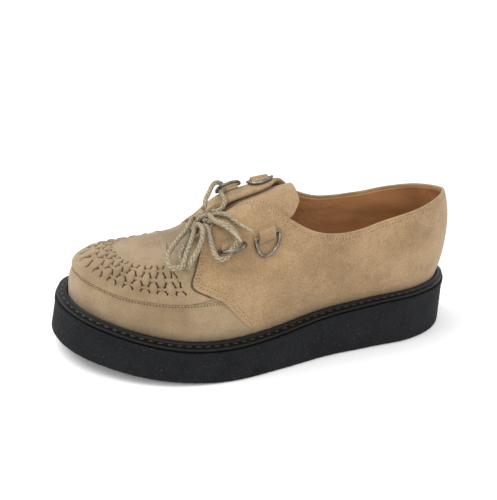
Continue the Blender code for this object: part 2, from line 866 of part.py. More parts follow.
def build_knot():
    """Turned body of two wraps, side by side, that the bridles, loops and ends meet."""
    centre = with_rings(KNOT_CENTRE)
    axis = np.array(KNOT_AXIS) / np.linalg.norm(KNOT_AXIS)
    across = np.array((0.0, 1.0, 0.0))
    over = np.cross(axis, across)
    rings = []
    for place, radius in KNOT_PROFILE:
        ring = []
        for turn in np.linspace(0, 2 * math.pi, KNOT_SIDES, endpoint=False):
            spoke = (across * math.cos(turn) + over * math.sin(turn)) * radius
            ring.append(centre + (axis * place + spoke) * KNOT_RADIUS)
        rings.append(ring)
    shell = Skin()
    for low, high in zip(rings, rings[1:]):
        shell.strip(low + low[:1], high + high[:1])
    shell.face(*rings[0])
    shell.face(*rings[-1])
    return shell.finish("lace_knot", braid)


def wire(name, points, thickness, material, closed=False):
    """Round tube along points."""
    curve = bpy.data.curves.new(name, "CURVE")
    curve.dimensions = "3D"
    curve.bevel_depth = thickness / 2
    curve.bevel_resolution = 2
    curve.use_fill_caps = True
    line = curve.splines.new("POLY")
    line.points.add(len(points) - 1)
    for target, point in zip(line.points, points):
        target.co = (*(float(v) for v in point), 1)
    line.use_cyclic_u = closed
    return add_object(name, curve, material)


for old in list(bpy.data.objects):
    bpy.data.objects.remove(old)

parts = new_collection("suede_derby_shoe")
crepe = make_material("black_crepe_rubber", (0.012, 0.013, 0.016), 0.75)
welt_rubber = make_material("black_welt", (0.008, 0.009, 0.011), 0.45)
suede = make_material("sand_suede", (0.42, 0.30, 0.19), 0.95)
tongue_leather = make_material("tongue_suede", (0.36, 0.26, 0.17), 0.9)
insole_leather = make_material("tan_insole_leather", (0.35, 0.17, 0.08), 0.6)
nickel = make_material("nickel_wire", (0.60, 0.58, 0.55), 0.25, 1.0)
braid = make_material("braided_cotton_lace", (0.40, 0.34, 0.27), 0.85)

build_outsole()
build_welt()
build_insole()
build_upper()
build_tongue()
build_apron()
for keeper, hand, place, level, raised in KEEPERS:
    build_keeper(keeper, hand, place, level)
    build_ring(keeper, hand, place, level, raised)
for name, places in BRIDLES.items():
    wire(name, route(places, BRIDLE_STEP), LACE, braid)
for name, places in HANGING_CORDS.items():
    wire(name, route(places, CORD_STEP), LACE, braid)
build_knot()
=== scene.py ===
"""Looks of the left suede derby with an interlaced apron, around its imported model.

Metres, +Z up; the toe points to -Y, the heel to +Y, and the outer side of the foot is +X.
"""
import math

import bmesh
import bpy
import numpy as np
from mathutils import Matrix, Vector, noise


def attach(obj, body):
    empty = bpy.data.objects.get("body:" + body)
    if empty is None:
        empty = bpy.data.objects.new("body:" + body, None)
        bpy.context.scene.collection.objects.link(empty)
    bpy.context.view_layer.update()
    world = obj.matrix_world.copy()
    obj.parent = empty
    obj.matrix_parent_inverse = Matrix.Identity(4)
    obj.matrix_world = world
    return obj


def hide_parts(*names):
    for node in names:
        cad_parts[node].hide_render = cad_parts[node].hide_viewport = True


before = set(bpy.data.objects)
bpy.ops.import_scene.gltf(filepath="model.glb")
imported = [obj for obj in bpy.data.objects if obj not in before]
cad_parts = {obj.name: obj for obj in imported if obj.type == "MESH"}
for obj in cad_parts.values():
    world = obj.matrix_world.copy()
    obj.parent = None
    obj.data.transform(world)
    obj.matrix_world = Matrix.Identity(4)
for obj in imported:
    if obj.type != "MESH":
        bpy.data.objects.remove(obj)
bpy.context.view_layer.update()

# Camera: half a metre from the shoe, above it and on its outer side, at the place that the
# photograph's outlines give and rolled by three degrees.
CAMERA_AZIMUTH = math.radians(73.81)
CAMERA_ELEVATION = math.radians(24.25)
CAMERA_ROLL = math.radians(3.07)
CAMERA_PLACE = (0.41164, -0.13160, 0.25773)
FOCAL_PIXELS = 644.6
IMAGE_HEIGHT = 500
FILM_HEIGHT = 36.0

back = Vector((
    math.sin(CAMERA_AZIMUTH) * math.cos(CAMERA_ELEVATION),
    -math.cos(CAMERA_AZIMUTH) * math.cos(CAMERA_ELEVATION),
    math.sin(CAMERA_ELEVATION),
))
level_right = (-back).cross(Vector((0, 0, 1))).normalized()
level_up = level_right.cross(-back)
right = math.cos(CAMERA_ROLL) * level_right + math.sin(CAMERA_ROLL) * level_up
up = -math.sin(CAMERA_ROLL) * level_right + math.cos(CAMERA_ROLL) * level_up
camera_data = bpy.data.cameras.new("camera")
camera_data.sensor_fit = "VERTICAL"
camera_data.sensor_height = FILM_HEIGHT
camera_data.lens = FOCAL_PIXELS * FILM_HEIGHT / IMAGE_HEIGHT
camera = bpy.data.objects.new("camera", camera_data)
camera.matrix_world = Matrix((
    (right.x, up.x, back.x, CAMERA_PLACE[0]),
    (right.y, up.y, back.y, CAMERA_PLACE[1]),
    (right.z, up.z, back.z, CAMERA_PLACE[2]),
    (0, 0, 0, 1),
))
bpy.context.scene.collection.objects.link(camera)
bpy.context.scene.camera = camera


# Lace: a round braid of waxed cotton, tied in one bow over the throat. Each stretch is a
# tube whose strands stand up in a plain over-and-under braid; the two ends taper into tips.
LACE = 0.0035
LACE_SIDES = 24
LACE_RING_STEP = 0.00042
STRANDS = 4
STRAND_PITCH = 0.0034
STRAND_RELIEF = 0.13
STRAND_SHADE = 1.6
TUBE_END_SHADE = 0.5
TIP_LENGTH = 0.0125
TIP_SHARE = 0.52
TIP_SIDES = 16
TIP_RADIUS = 0.00118
TIP_WINDINGS = 14
TIP_WOUND = 0.86
TIP_NARROWING = 0.25
WINDING_RELIEF = 0.05
TIP_END_SHARES = (0.86, 0.70)
BRIDLES = {
    "lace_bridle_outer": (
        (15.4, -49.0, 92.0),
        (23.5, -47.7, 93.7),
        (32.0, -48.1, 90.9),
        (41.0, -48.2, 87.7),
        (46.5, -47.5, 84.5),
        (50.0, -45.4, 82.8),
        (48.2, -40.2, 83.2),
        (45.6, -36.6, 87.0),
        (43.5, -33.6, 89.2),
        (42.0, -32.1, 93.1),
        (37.0, -34.0, 96.7),
        (31.0, -36.6, 97.9),
        (24.5, -40.6, 97.7),
        (16.0, -45.4, 94.6),
    ),
    "lace_bridle_inner": (
        (7.2, -42.2, 98.9),
        (6.5, -35.2, 100.2),
        (2.5, -31.6, 104.0),
        (-3.6, -31.8, 105.8),
        (-9.2, -31.9, 106.9),
        (-10.8, -30.2, 107.7),
        (-13.0, -29.5, 109.4),
        (-14.1, -31.2, 111.6),
        (-13.4, -34.0, 112.7),
        (-5.0, -42.1, 107.0),
        (0.0, -44.9, 104.9),
        (4.5, -46.4, 102.2),
        (6.6, -47.8, 101.4),
    ),
}
HANGING_CORDS = {
    "lace_loop_front": (
        (4.0, -54.6, 94.4),
        (14.0, -60.8, 89.1),
        (24.0, -68.9, 85.2),
        (38.0, -76.6, 80.1),
        (44.5, -75.0, 76.4),
        (45.5, -70.0, 76.8),
        (39.0, -64.4, 84.4),
        (31.0, -60.1, 88.6),
        (10.2, -54.8, 88.4),
    ),
    "lace_loop_rear": (
        (15.4, -53.0, 93.4),
        (36.0, -54.0, 91.6),
        (41.0, -58.1, 85.2),
        (46.0, -63.3, 79.8),
        (44.5, -63.7, 76.6),
        (40.0, -66.5, 75.0),
        (35.0, -68.0, 77.8),
        (25.5, -64.4, 81.9),
        (14.5, -58.2, 84.2),
        (8.0, -57.6, 86.2),
    ),
    "lace_end_long": (
        (11.4, -42.2, 97.6),
        (17.5, -37.0, 100.8),
        (23.0, -32.8, 100.6),
        (30.0, -29.0, 98.4),
        (34.0, -24.5, 96.7),
        (37.0, -19.5, 94.4),
    ),
    "lace_end_short": (
        (14.0, -44.6, 99.4),
        (31.5, -43.3, 101.0),
        (39.0, -39.3, 100.8),
        (43.0, -35.9, 98.5),
        (49.0, -31.1, 93.4),
    ),
}
KNOT_CENTRE = np.array((0.0080, -0.0474, 0.0940))
KNOT_AXIS = np.array((0.84, 0.00, -0.54))
KNOT_RADIUS = 0.0060
KNOT_TURNS = 2.3
KNOT_STEPS = 130
KNOT_FILL = 0.86
KNOT_END_SHARE = 0.62


def linear(code):
    """Linear colour of an sRGB hex code."""
    channels = [int(code[at:at + 2], 16) / 255 for at in (1, 3, 5)]
    light = [c / 12.92 if c <= 0.04045 else ((c + 0.055) / 1.055) ** 2.4 for c in channels]
    return (*light, 1.0)


def add_node(material, kind, links=(), **settings):
    """Add a shader node; settings name its properties or its input sockets by number, as in0."""
    node = material.node_tree.nodes.new(kind)
    for key, value in settings.items():
        if key.startswith("in") and key[2:].isdigit():
            node.inputs[int(key[2:])].default_value = value
        else:
            setattr(node, key, value)
    for source, socket in links:
        material.node_tree.links.new(source, node.inputs[socket])
    return node


def start_material(name, roughness, metallic=0.0, specular=0.5):
    """Principled material of that name, with its shader and the place on its piece."""
    material = bpy.data.materials.new(name)
    material.use_nodes = True
    shader = material.node_tree.nodes["Principled BSDF"]
    shader.inputs["Roughness"].default_value = roughness
    shader.inputs["Metallic"].default_value = metallic
    shader.inputs["Specular IOR Level"].default_value = specular
    return material, shader, add_node(material, "ShaderNodeTexCoord").outputs["Object"]


def clouded(material, place, dark, light, low=0.0, high=1.0, scale=500.0, detail=2.0, rough=0.5):
    """Soft noise at a place of the material, and a ramp over it between two colours."""
    cloud = add_node(material, "ShaderNodeTexNoise", [(place, 0)], in2=scale, in3=detail, in4=rough)
    ramp = add_node(material, "ShaderNodeValToRGB", [(cloud.outputs[0], 0)])
    for element, position, code in zip(ramp.color_ramp.elements, (low, high), (dark, light)):
        element.position = position
        element.color = linear(code)
    return cloud, ramp


def grained(material, place, scale, detail, strength, distance):
    """Bump from fine noise at a place of the material."""
    grain = add_node(material, "ShaderNodeTexNoise", [(place, 0)], in2=scale, in3=detail)
    return add_node(material, "ShaderNodeBump", [(grain.outputs[0], 2)], in0=strength, in1=distance)


def lay_on(material, shader, colour, bump=None):
    """Link a colour, and a bump where there is one, to the shader of a material."""
    material.node_tree.links.new(colour.outputs[0], shader.inputs["Base Color"])
    if bump:
        material.node_tree.links.new(bump.outputs[0], shader.inputs["Normal"])


def unit(vectors):
    """Vectors of length one in the same directions."""
    return vectors / np.linalg.norm(vectors, axis=-1, keepdims=True)


def run_along(line):
    """Distance along a line from its start to each of its points."""
    return np.concatenate([[0], np.cumsum(np.linalg.norm(np.diff(line, axis=0), axis=1))])


def read_line(at, run, line):
    """Points at distances along a line, from the distance run to each of its own points."""
    return np.column_stack([np.interp(at, run, line[:, axis]) for axis in range(3)])


def smooth(rows, column, at, closed=False):
    """Value of one column of a table at a place, on a smooth curve through its rows."""
    table = np.asarray(rows, float)
    x = table[:, 0]
    y = table[:, column]
    step = np.diff(x)
    rise = np.diff(y) / step
    if closed:
        before = np.concatenate([rise[-1:], rise])
        after = np.concatenate([rise, rise[:1]])
        wide = np.concatenate([step[-1:], step])
        near = np.concatenate([step, step[:1]])
        slope = (before * near + after * wide) / (wide + near)
        at = x[0] + (np.asarray(at, float) - x[0]) % (x[-1] - x[0])
    else:
        inner = (rise[:-1] * step[1:] + rise[1:] * step[:-1]) / (step[1:] + step[:-1])
        slope = np.concatenate([[2 * rise[0] - inner[0]], inner, [2 * rise[-1] - inner[-1]]])
        at = np.clip(np.asarray(at, float), x[0], x[-1])
    row = np.clip(np.searchsorted(x, at, side="right") - 1, 0, len(x) - 2)
    size = step[row]
    part = (at - x[row]) / size
    rest = 1 - part
    return ((1 + 2 * part) * rest ** 2 * y[row] + part * rest ** 2 * size * slope[row]
            + part ** 2 * (3 - 2 * part) * y[row + 1] - part ** 2 * rest * size * slope[row + 1])


def route(places, step):
    """Evenly spaced points on a smooth curve through places in millimetres."""
    through = np.array(places) / 1000
    run = run_along(through)
    table = np.column_stack([run, through])
    count = max(3, round(run[-1] / step))
    at = np.linspace(0, run[-1], count + 1)
    return np.column_stack([smooth(table, axis, at) for axis in (1, 2, 3)])


def ease(value, low, high):
    """0 below low, 1 above high, and a soft step between them."""
    part = np.clip((np.asarray(value, float) - low) / (high - low), 0, 1)
    return part * part * (3 - 2 * part)


def add_piece(name, points, faces, material, soil_and_shade=None):
    """Object of a mesh with merged doubles and smooth shading; a darkening kept for each vertex holds dirt
    on some pieces and painted shade on others.
    """
    data = bpy.data.meshes.new(name)
    data.from_pydata([tuple(p) for p in points], [], [tuple(int(i) for i in f) for f in faces])
    if soil_and_shade is not None:
        attribute = data.attributes.new("soil_and_shade", "FLOAT", "POINT")
        attribute.data.foreach_set("value", np.clip(soil_and_shade, 0, 1).astype(np.float32))
    work = bmesh.new()
    work.from_mesh(data)
    bmesh.ops.remove_doubles(work, verts=work.verts, dist=0.000004)
    work.to_mesh(data)
    work.free()
    data.shade_smooth()
    data.materials.append(material)
    piece = bpy.data.objects.new(name, data)
    bpy.context.scene.collection.objects.link(piece)
    return piece


def turn_outwards(piece):
    """Turn the faces of a closed piece outwards."""
    work = bmesh.new()
    work.from_mesh(piece.data)
    bmesh.ops.recalc_face_normals(work, faces=work.faces)
    work.to_mesh(piece.data)
    work.free()


def grid_faces(rows, columns, closed=False, start=0):
    """Quads of a grid of points stored row by row; closed joins each row's end to its start."""
    across = columns if closed else columns - 1
    row, column = np.meshgrid(np.arange(rows - 1), np.arange(across), indexing="ij")
    right_column = (column + 1) % columns
    quads = np.stack([
        row * columns + column,
        row * columns + right_column,
        (row + 1) * columns + right_column,
        (row + 1) * columns + column,
    ], -1)
    return quads.reshape(-1, 4) + start


def face_frames(line):
    """Tangent and two steady cross directions along a line of points."""
    tangent = unit(np.gradient(line, axis=0))
    across = unit(np.cross(tangent[0], (0.3, 0.2, 1.0)))
    first = []
    for direction in tangent:
        across = unit(across - direction * across.dot(direction))
        first.append(across)
    first = np.array(first)
    return tangent, first, np.cross(tangent, first)


def spokes_around(first, second, sides):
    """Unit spokes of a round section at each point of a line, from its two cross directions."""
    turn = np.linspace(0, 2 * math.pi, sides, endpoint=False)
    return first[:, None] * np.cos(turn)[None, :, None] + second[:, None] * np.sin(turn)[None, :, None]


def braided_tube(name, line, tapered=False):
    """Tube along a line whose surface is raised in braided strands."""
    _, first, second = face_frames(line)
    run = run_along(line)
    around = np.linspace(0, STRANDS, LACE_SIDES, endpoint=False)
    along, around = np.meshgrid(run / STRAND_PITCH, around, indexing="ij")
    one_way = np.abs(np.sin(math.pi * (along + around)))
    other_way = np.abs(np.sin(math.pi * (along - around)))
    on_top = np.cos(math.pi * 2 * along) * np.cos(math.pi * 2 * around) > 0
    relief = np.where(on_top, one_way, other_way)
    radius = LACE / 2 * (1 - STRAND_RELIEF + STRAND_RELIEF * relief)
    if tapered:
        tip = ease(run, run[-1] - TIP_LENGTH, run[-1] - 0.75 * TIP_LENGTH)[:, None]
        radius = radius * (1 - tip) + LACE / 2 * TIP_SHARE * tip
    points = line[:, None] + spokes_around(first, second, LACE_SIDES) * radius[..., None]
    count = len(line) * LACE_SIDES
    faces = [tuple(f) for f in grid_faces(len(line), LACE_SIDES, True)]
    for place, base in ((count, 0), (count + 1, count - LACE_SIDES)):
        for side in range(LACE_SIDES):
            pair = (base + side, base + (side + 1) % LACE_SIDES)
            faces.append((place, *(pair[::-1] if base == 0 else pair)))
    every = np.vstack([points.reshape(-1, 3), line[[0, -1]]])
    # Painted shade: the braid darkens where its surface lies low between the strands, and at the tube ends.
    gaps = np.concatenate([(1 - relief.reshape(-1)) ** 2 * STRAND_SHADE, [TUBE_END_SHADE] * 2])
    piece = add_piece(name, every, faces, lace_braid, gaps)
    turn_outwards(piece)
    return piece


def lace_tip(name, line):
    """Sleeve of waxed thread wound around the last stretch of an end."""
    run = run_along(line)
    wound = line[run > run[-1] - TIP_WOUND * TIP_LENGTH]
    tangent, first, second = face_frames(wound)
    part = np.linspace(0, 1, len(wound))
    windings = 1 + WINDING_RELIEF * np.sin(part * TIP_WINDINGS * 2 * math.pi)
    radius = TIP_RADIUS * (1 - TIP_NARROWING * part) * windings
    radius[[0, -1]] *= TIP_END_SHARES
    spokes = spokes_around(first, second, TIP_SIDES)
    points = (wound[:, None] + spokes * radius[:, None, None]).reshape(-1, 3)
    tail = wound[-1] + tangent[-1] * TIP_RADIUS / 4
    faces = [tuple(f) for f in grid_faces(len(wound), TIP_SIDES, True)]
    count = len(points)
    for base, place in ((0, count), (count - TIP_SIDES, count + 1)):
        faces += [(place, base + side, base + (side + 1) % TIP_SIDES) for side in range(TIP_SIDES)]
    piece = add_piece(name, np.vstack([points, [wound[0]], [tail]]), faces, lace_braid)
    turn_outwards(piece)
    return piece


# Waxed cotton braid: pale beige threads, darkened by painted shade in the gaps between the
# strands and at the ends of each tube, matt with a faint sheen from the wax.
lace_braid, lace_shader, lace_place = start_material("waxed_cotton_braid", 0.78, specular=0.25)
_, lace_ramp = clouded(lace_braid, lace_place, "#85765e", "#b5a88f", 0.30, 0.66, 900.0, 3.0)
lace_gaps = add_node(lace_braid, "ShaderNodeAttribute", attribute_name="soil_and_shade")
# The painted shade of the gaps, read from the vertex value, darkens the braid's colour.
lace_edges = add_node(lace_braid, "ShaderNodeMapRange", [(lace_gaps.outputs["Fac"], 0)],
                      in3=1.0, in4=0.30)
lace_colour = add_node(lace_braid, "ShaderNodeVectorMath",
                       [(lace_ramp.outputs[0], 0), (lace_edges.outputs[0], 3)], operation="SCALE")
lace_bump = grained(lace_braid, lace_place, 3500.0, 2.0, 0.25, 0.0002)
lay_on(lace_braid, lace_shader, lace_colour, lace_bump)

for cord_name, places in {**BRIDLES, **HANGING_CORDS}.items():
    line = route(places, LACE_RING_STEP)
    cord_piece = braided_tube(cord_name + "_braid", line, cord_name.startswith("lace_end"))
    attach(cord_piece, "root")
    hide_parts(cord_name)
    if cord_name in HANGING_CORDS:
        if cord_name.startswith("lace_end"):
            sleeve = lace_tip(cord_name.replace("end", "tip"), line)
            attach(sleeve, "root")

knot_axis = unit(KNOT_AXIS)
knot_across = np.array((0.0, 1.0, 0.0))
knot_over = np.cross(knot_axis, knot_across)
knot_turn = np.linspace(0, KNOT_TURNS * 2 * math.pi, KNOT_STEPS)
knot_room = KNOT_RADIUS - LACE / 2
knot_place = (knot_turn / knot_turn[-1] - 0.5) * 2 * knot_room * KNOT_FILL
knot_swell = np.sin(math.pi * knot_turn / knot_turn[-1]) ** 0.5
knot_reach = knot_room * (KNOT_END_SHARE + (1 - KNOT_END_SHARE) * knot_swell)
knot_line = (KNOT_CENTRE + knot_axis * knot_place[:, None]
             + knot_across * (np.cos(knot_turn) * knot_reach)[:, None]
             + knot_over * (np.sin(knot_turn) * knot_reach)[:, None])
knot_piece = braided_tube("lace_knot_braid", knot_line)
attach(knot_piece, "root")
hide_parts("lace_knot")


# Last: the wooden form that the shoe is built on. It is no piece of the shoe; its functions
# give the upper's, the sole's and every seam's place from the same named sizes as the model.
SHOE_LENGTH = 0.298
BALL_WIDTH = 0.115
HEEL_STACK = 0.0369
TOE_SPRING = 0.0120
FLARE = 0.0052
INSTEP_RISE = 0.0830
LAST_SWELL = 0.0018
SHOULDER = 0.0098
WELT_WIDTH = 0.0086
FEATHER_RISE = 0.0047
GAP = 0.0003
OUTLINE = (
    (0.000, 0.000, 0.000),
    (0.015, 0.112, -0.140),
    (0.060, 0.238, -0.262),
    (0.140, 0.332, -0.322),
    (0.260, 0.370, -0.313),
    (0.380, 0.406, -0.308),
    (0.500, 0.479, -0.364),
    (0.620, 0.542, -0.435),
    (0.720, 0.540, -0.463),
    (0.810, 0.483, -0.458),
    (0.890, 0.373, -0.420),
    (0.950, 0.244, -0.348),
    (0.985, 0.105, -0.248),
    (1.000, -0.050, -0.050),
)
SOLE_ROWS = (
    (0.00, 1.000, 0.69, 0.37),
    (0.20, 0.932, 0.80, 0.60),
    (0.40, 0.767, 0.95, 0.90),
    (0.55, 0.600, 1.00, 1.00),
    (0.70, 0.580, 1.00, 1.00),
    (0.85, 0.756, 0.99, 0.98),
    (1.00, 1.003, 0.99, 0.94),
)
SPRING_START = 0.63
SPRING_CURVE = 1.4
LAST_ROWS = (
    (0.00, 0.000, 1.019, 3.20, 1.42, 0.0),
    (0.12, 0.000, 1.037, 3.10, 1.37, 0.0),
    (0.25, 0.009, 1.049, 3.00, 1.00, 0.0),
    (0.36, 0.017, 1.010, 2.60, 1.00, 0.0),
    (0.46, 0.017, 0.930, 2.15, 1.00, 0.5),
    (0.54, 0.017, 0.835, 1.92, 0.80, 1.0),
    (0.61, 0.017, 0.735, 2.00, 1.00, 0.8),
    (0.67, 0.017, 0.545, 2.25, 1.00, 0.2),
    (0.75, 0.000, 0.412, 2.60, 0.89, 0.0),
    (0.86, -0.026, 0.388, 2.90, 0.22, 0.0),
    (1.00, -0.052, 0.333, 2.90, -0.28, 0.0),
)
SHOULDER_RISE = (0.20, 0.62, 1.00)
RIDGE_BACK = 0.10
RIDGE_FRONT = 0.84
RIDGE_EASE = 0.12
RIDGE_RATE = 1.10
RIDGE_OFFSET = -0.03
RIDGE_LIMIT = 0.96
NORMAL_STEP = 0.002
TOE_JOIN = 0.985
SHARED_END = 0.0001
OUTLINE_STEPS = 1200


def outline_side(side):
    """Dense line of the outline from heel to toe on one side, with shares and normals."""
    rows = np.asarray(OUTLINE)
    outer = np.column_stack([rows[:, 1] * BALL_WIDTH, (0.5 - rows[:, 0]) * SHOE_LENGTH])
    inner = np.column_stack([rows[:, 2] * BALL_WIDTH, (0.5 - rows[:, 0]) * SHOE_LENGTH])
    loop = np.vstack([outer, inner[-2::-1]])
    chord = np.sqrt(np.hypot(*np.diff(loop, axis=0).T))
    knots = np.concatenate([[0], np.cumsum(chord)])
    table = np.column_stack([knots, loop])
    toe = knots[len(rows) - 1]
    run = np.linspace(0 if side > 0 else knots[-1], toe, OUTLINE_STEPS + 1)
    line = np.column_stack([smooth(table, 1, run, True), smooth(table, 2, run, True)])
    if side < 0:
        line[0] = loop[0]
    share = np.concatenate([[0], np.cumsum(np.hypot(*np.diff(line, axis=0).T))])
    tangent = np.gradient(line, axis=0)
    normal = unit(np.column_stack([-tangent[:, 1], tangent[:, 0]]) * side)
    normal[0] = (0, 1)
    normal[-1] = normal[-2]
    return share / share[-1], line, normal


SIDE_LINES = {1: outline_side(1), -1: outline_side(-1)}
TOE_NORMAL = sum(SIDE_LINES[side][2][-1] for side in (1, -1)) / 2


def plan(side, share):
    """Point and outward normal of the outline, from above, at a share along one side."""
    shares, line, normal = SIDE_LINES[side]
    point = np.stack([np.interp(share, shares, line[:, axis]) for axis in (0, 1)], -1)
    out = np.stack([np.interp(share, shares, normal[:, axis]) for axis in (0, 1)], -1)
    at_toe = ease(share, TOE_JOIN, 1.0)[..., None]
    out = out * (1 - at_toe) + TOE_NORMAL * at_toe
    return point, unit(out)


def along(y):
    """Share of the length from the heel."""
    return 0.5 - y / SHOE_LENGTH


def sole_top(y):
    return smooth(SOLE_ROWS, 1, along(y)) * HEEL_STACK


def sole_bottom(y):
    part = np.clip((along(y) - SPRING_START) / (1 - SPRING_START), 0, None)
    return TOE_SPRING * part ** SPRING_CURVE


def welt_width(y):
    return smooth(SOLE_ROWS, 2, along(y)) * WELT_WIDTH


def flare(y):
    return smooth(SOLE_ROWS, 3, along(y)) * FLARE


def feather(side, share):
    """Line where the upper meets the welt, and its outward normal from above."""
    point, out = plan(side, share)
    line = point - out * welt_width(point[..., 1])[..., None]
    height = sole_top(line[..., 1]) + FEATHER_RISE
    return np.concatenate([line, height[..., None]], -1), out


def ridge(share):
    """Point on the last's top line that the ribs of both sides run to."""
    both = (along(feather(1, share)[0][..., 1]) + along(feather(-1, share)[0][..., 1])) / 2
    free = RIDGE_RATE * share + RIDGE_OFFSET
    held = RIDGE_BACK + RIDGE_EASE * np.log1p(np.exp((free - RIDGE_BACK) / RIDGE_EASE))
    place = RIDGE_FRONT - RIDGE_EASE * np.log1p(np.exp((RIDGE_FRONT - held) / RIDGE_EASE))
    x = smooth(LAST_ROWS, 1, place) * BALL_WIDTH
    z = HEEL_STACK + smooth(LAST_ROWS, 2, place) * INSTEP_RISE
    return np.stack([x, (0.5 - place) * SHOE_LENGTH, z], -1), both


def last(side, share, rise):
    """Point of the last: share along the side, rise from the feather (0) to the ridge (1)."""
    share, rise = np.broadcast_arrays(np.asarray(share, float), np.asarray(rise, float))
    foot, out = feather(side, share)
    top, place = ridge(share)
    power = smooth(LAST_ROWS, 3, place)
    swell = smooth(LAST_ROWS, 4, place) * LAST_SWELL
    angle = rise * math.pi / 2
    reach = (np.abs(np.cos(angle)) ** power + np.abs(np.sin(angle)) ** power) ** (-1 / power)
    climb = np.clip(reach * np.sin(angle), 0, 1)
    inward = 1 - reach * np.cos(angle)
    bulge = swell * np.sin(math.pi * climb ** 0.75)
    flat = foot[..., :2] + (top[..., :2] - foot[..., :2]) * inward[..., None] + out * bulge[..., None]
    height = foot[..., 2] + (top[..., 2] - foot[..., 2]) * climb
    if side < 0:
        low, middle, high = SHOULDER_RISE
        crest = ease(rise, low, middle) * (1 - ease(rise, middle, high))
        height = height + smooth(LAST_ROWS, 5, place) * SHOULDER * crest
    return np.concatenate([flat, height[..., None]], -1)


def last_normal(side, share, rise):
    """Outward normal of the last, read just below the ridge for points on it."""
    share, rise = np.broadcast_arrays(np.asarray(share, float), np.asarray(rise, float))
    rise = np.minimum(rise, RIDGE_LIMIT)
    step = NORMAL_STEP
    run = last(side, np.clip(share + step, 0, 1), rise) - last(side, np.clip(share - step, 0, 1), rise)
    climb = last(side, share, np.clip(rise + step, 0, 1)) - last(side, share, np.clip(rise - step, 0, 1))
    return unit(np.cross(climb, run) * side)


def skin(side, share, rise, height):
    """Point at a height over the last; both sides agree on the ridge, the heel and the toe line."""
    share, rise, height = np.broadcast_arrays(*(np.asarray(v, float) for v in (share, rise, height)))
    points = []
    for hand in (side, -side):
        points.append(last(hand, share, rise) + last_normal(hand, share, rise) * height[..., None])
    shared = (rise > 1 - SHARED_END) | (share > 1 - SHARED_END) | (share < SHARED_END)
    return np.where(shared[..., None], (points[0] + points[1]) / 2, points[0])


# Upper: suede vamp and quarters, sewn together and pulled over the last. The quarters lap the
# vamp at the front; their edges are turned and rounded. The soft creases are those that wear
# and storage have left, each one a trough or a ridge listed below.
VAMP_WALL = 0.0018
QUARTER_WALL = 0.0024
QUARTER_LIFT = 0.0034
EDGE_ROUNDING = 0.0007
EDGE_STEPS = (1.0, 0.6, 0.25, 0.07, 0.0)
EDGE_SHARE = 0.3
FOOT_ROWS = 3
RIM_POINTS = 7
RISE_STEP = 0.01
SIDE_RUN = 0.345
RISE_RUN = 0.092
TOPLINE = (
    (0.000, 0.496, 0.496),
    (0.080, 0.494, 0.470),
    (0.160, 0.457, 0.438),
    (0.250, 0.417, 0.416),
    (0.320, 0.393, 0.434),
    (0.354, 0.401, 0.462),
    (0.384, 0.427, 0.508),
    (0.414, 0.480, 0.580),
    (0.444, 0.567, 0.730),
    (0.472, 0.674, 0.925),
    (0.498, 0.830, 0.978),
    (0.523, 0.894, 0.982),
    (0.560, 0.902, 0.982),
    (0.595, 0.872, 0.965),
    (0.636, 0.780, 0.880),
)
THROAT = TOPLINE[-1][0]
THROAT_RISE = TOPLINE[-1][1]
THROAT_FAN = 0.10
LIFT_RISE = 0.42
LIFT_CURVE = 0.7
SETTLED_SHARE = 0.38
BEHIND_FRONT = (0.02, 0.16)
OVER_TONGUE = (0.50, 0.72)
CREASE_FADE = (0.02, 0.16)
QUARTER_FRONT = (
    (0.000, 0.531),
    (0.115, 0.569),
    (0.257, 0.609),
    (0.323, 0.634),
    (0.406, 0.664),
    (0.529, 0.659),
    (0.613, 0.652),
    (0.728, 0.642),
    (0.780, 0.636),
)
# Creases: side (1 outer, -1 inner, 0 both), share and rise of each end, width and depth in
# millimetres; a negative depth is a ridge
CREASES = (
    (0, 0.705, 0.76, 0.715, 1.00, 8.0, 1.5),
    (0, 0.690, 0.52, 0.700, 0.75, 6.0, 0.5),
    (1, 0.565, 0.30, 0.620, 0.34, 7.0, 0.7),
    (1, 0.500, 0.24, 0.560, 0.46, 9.0, -0.5),
    (1, 0.430, 0.18, 0.490, 0.30, 8.0, 0.5),
    (1, 0.300, 0.16, 0.400, 0.22, 9.0, 0.45),
    (1, 0.180, 0.22, 0.260, 0.34, 10.0, 0.6),
    (1, 0.070, 0.26, 0.140, 0.36, 8.0, 0.5),
    (1, 0.085, 0.10, 0.180, 0.16, 8.0, -0.4),
    (-1, 0.500, 0.30, 0.600, 0.42, 9.0, 0.6),
    (-1, 0.300, 0.18, 0.420, 0.26, 9.0, 0.5),
    (-1, 0.120, 0.24, 0.220, 0.34, 9.0, 0.5),
)


def quarter_front(rise):
    return smooth(QUARTER_FRONT, 1, rise)


def topline(side, share):
    return smooth(TOPLINE, 1 if side > 0 else 2, share)


def quarter_height(share, rise):
    """How far the quarter's outer face stands off the last."""
    behind = ease(quarter_front(rise) - share, *BEHIND_FRONT)
    over_tongue = ease(rise, *OVER_TONGUE)
    settled = SETTLED_SHARE + (1 - SETTLED_SHARE) * np.maximum(1 - behind, over_tongue)
    return QUARTER_LIFT * ease(rise, 0, LIFT_RISE) ** LIFT_CURVE * settled


def crease_height(side, share, rise):
    """Height of the soft troughs and ridges at a place, fading out at the feather."""
    share, rise = np.broadcast_arrays(np.asarray(share, float), np.asarray(rise, float))
    height = np.zeros(share.shape)
    for hand, share_a, rise_a, share_b, rise_b, width, depth in CREASES:
        if hand not in (0, side):
            continue
        start = np.array((share_a * SIDE_RUN, rise_a * RISE_RUN))
        span = np.array((share_b * SIDE_RUN, rise_b * RISE_RUN)) - start
        x = share * SIDE_RUN - start[0]
        y = rise * RISE_RUN - start[1]
        part = np.clip((x * span[0] + y * span[1]) / span.dot(span), 0, 1)
        distance = np.hypot(x - part * span[0], y - part * span[1])
        height -= depth / 1000 * np.exp(-(distance / (width / 1000)) ** 2)
    return height * ease(rise, *CREASE_FADE)


def quarter_line(side, part, band):
    """Share and rise at part of the way to the front edge, band of the way to the topline."""
    share = quarter_front(band * THROAT_RISE) * part
    return share, band * topline(side, THROAT * part)


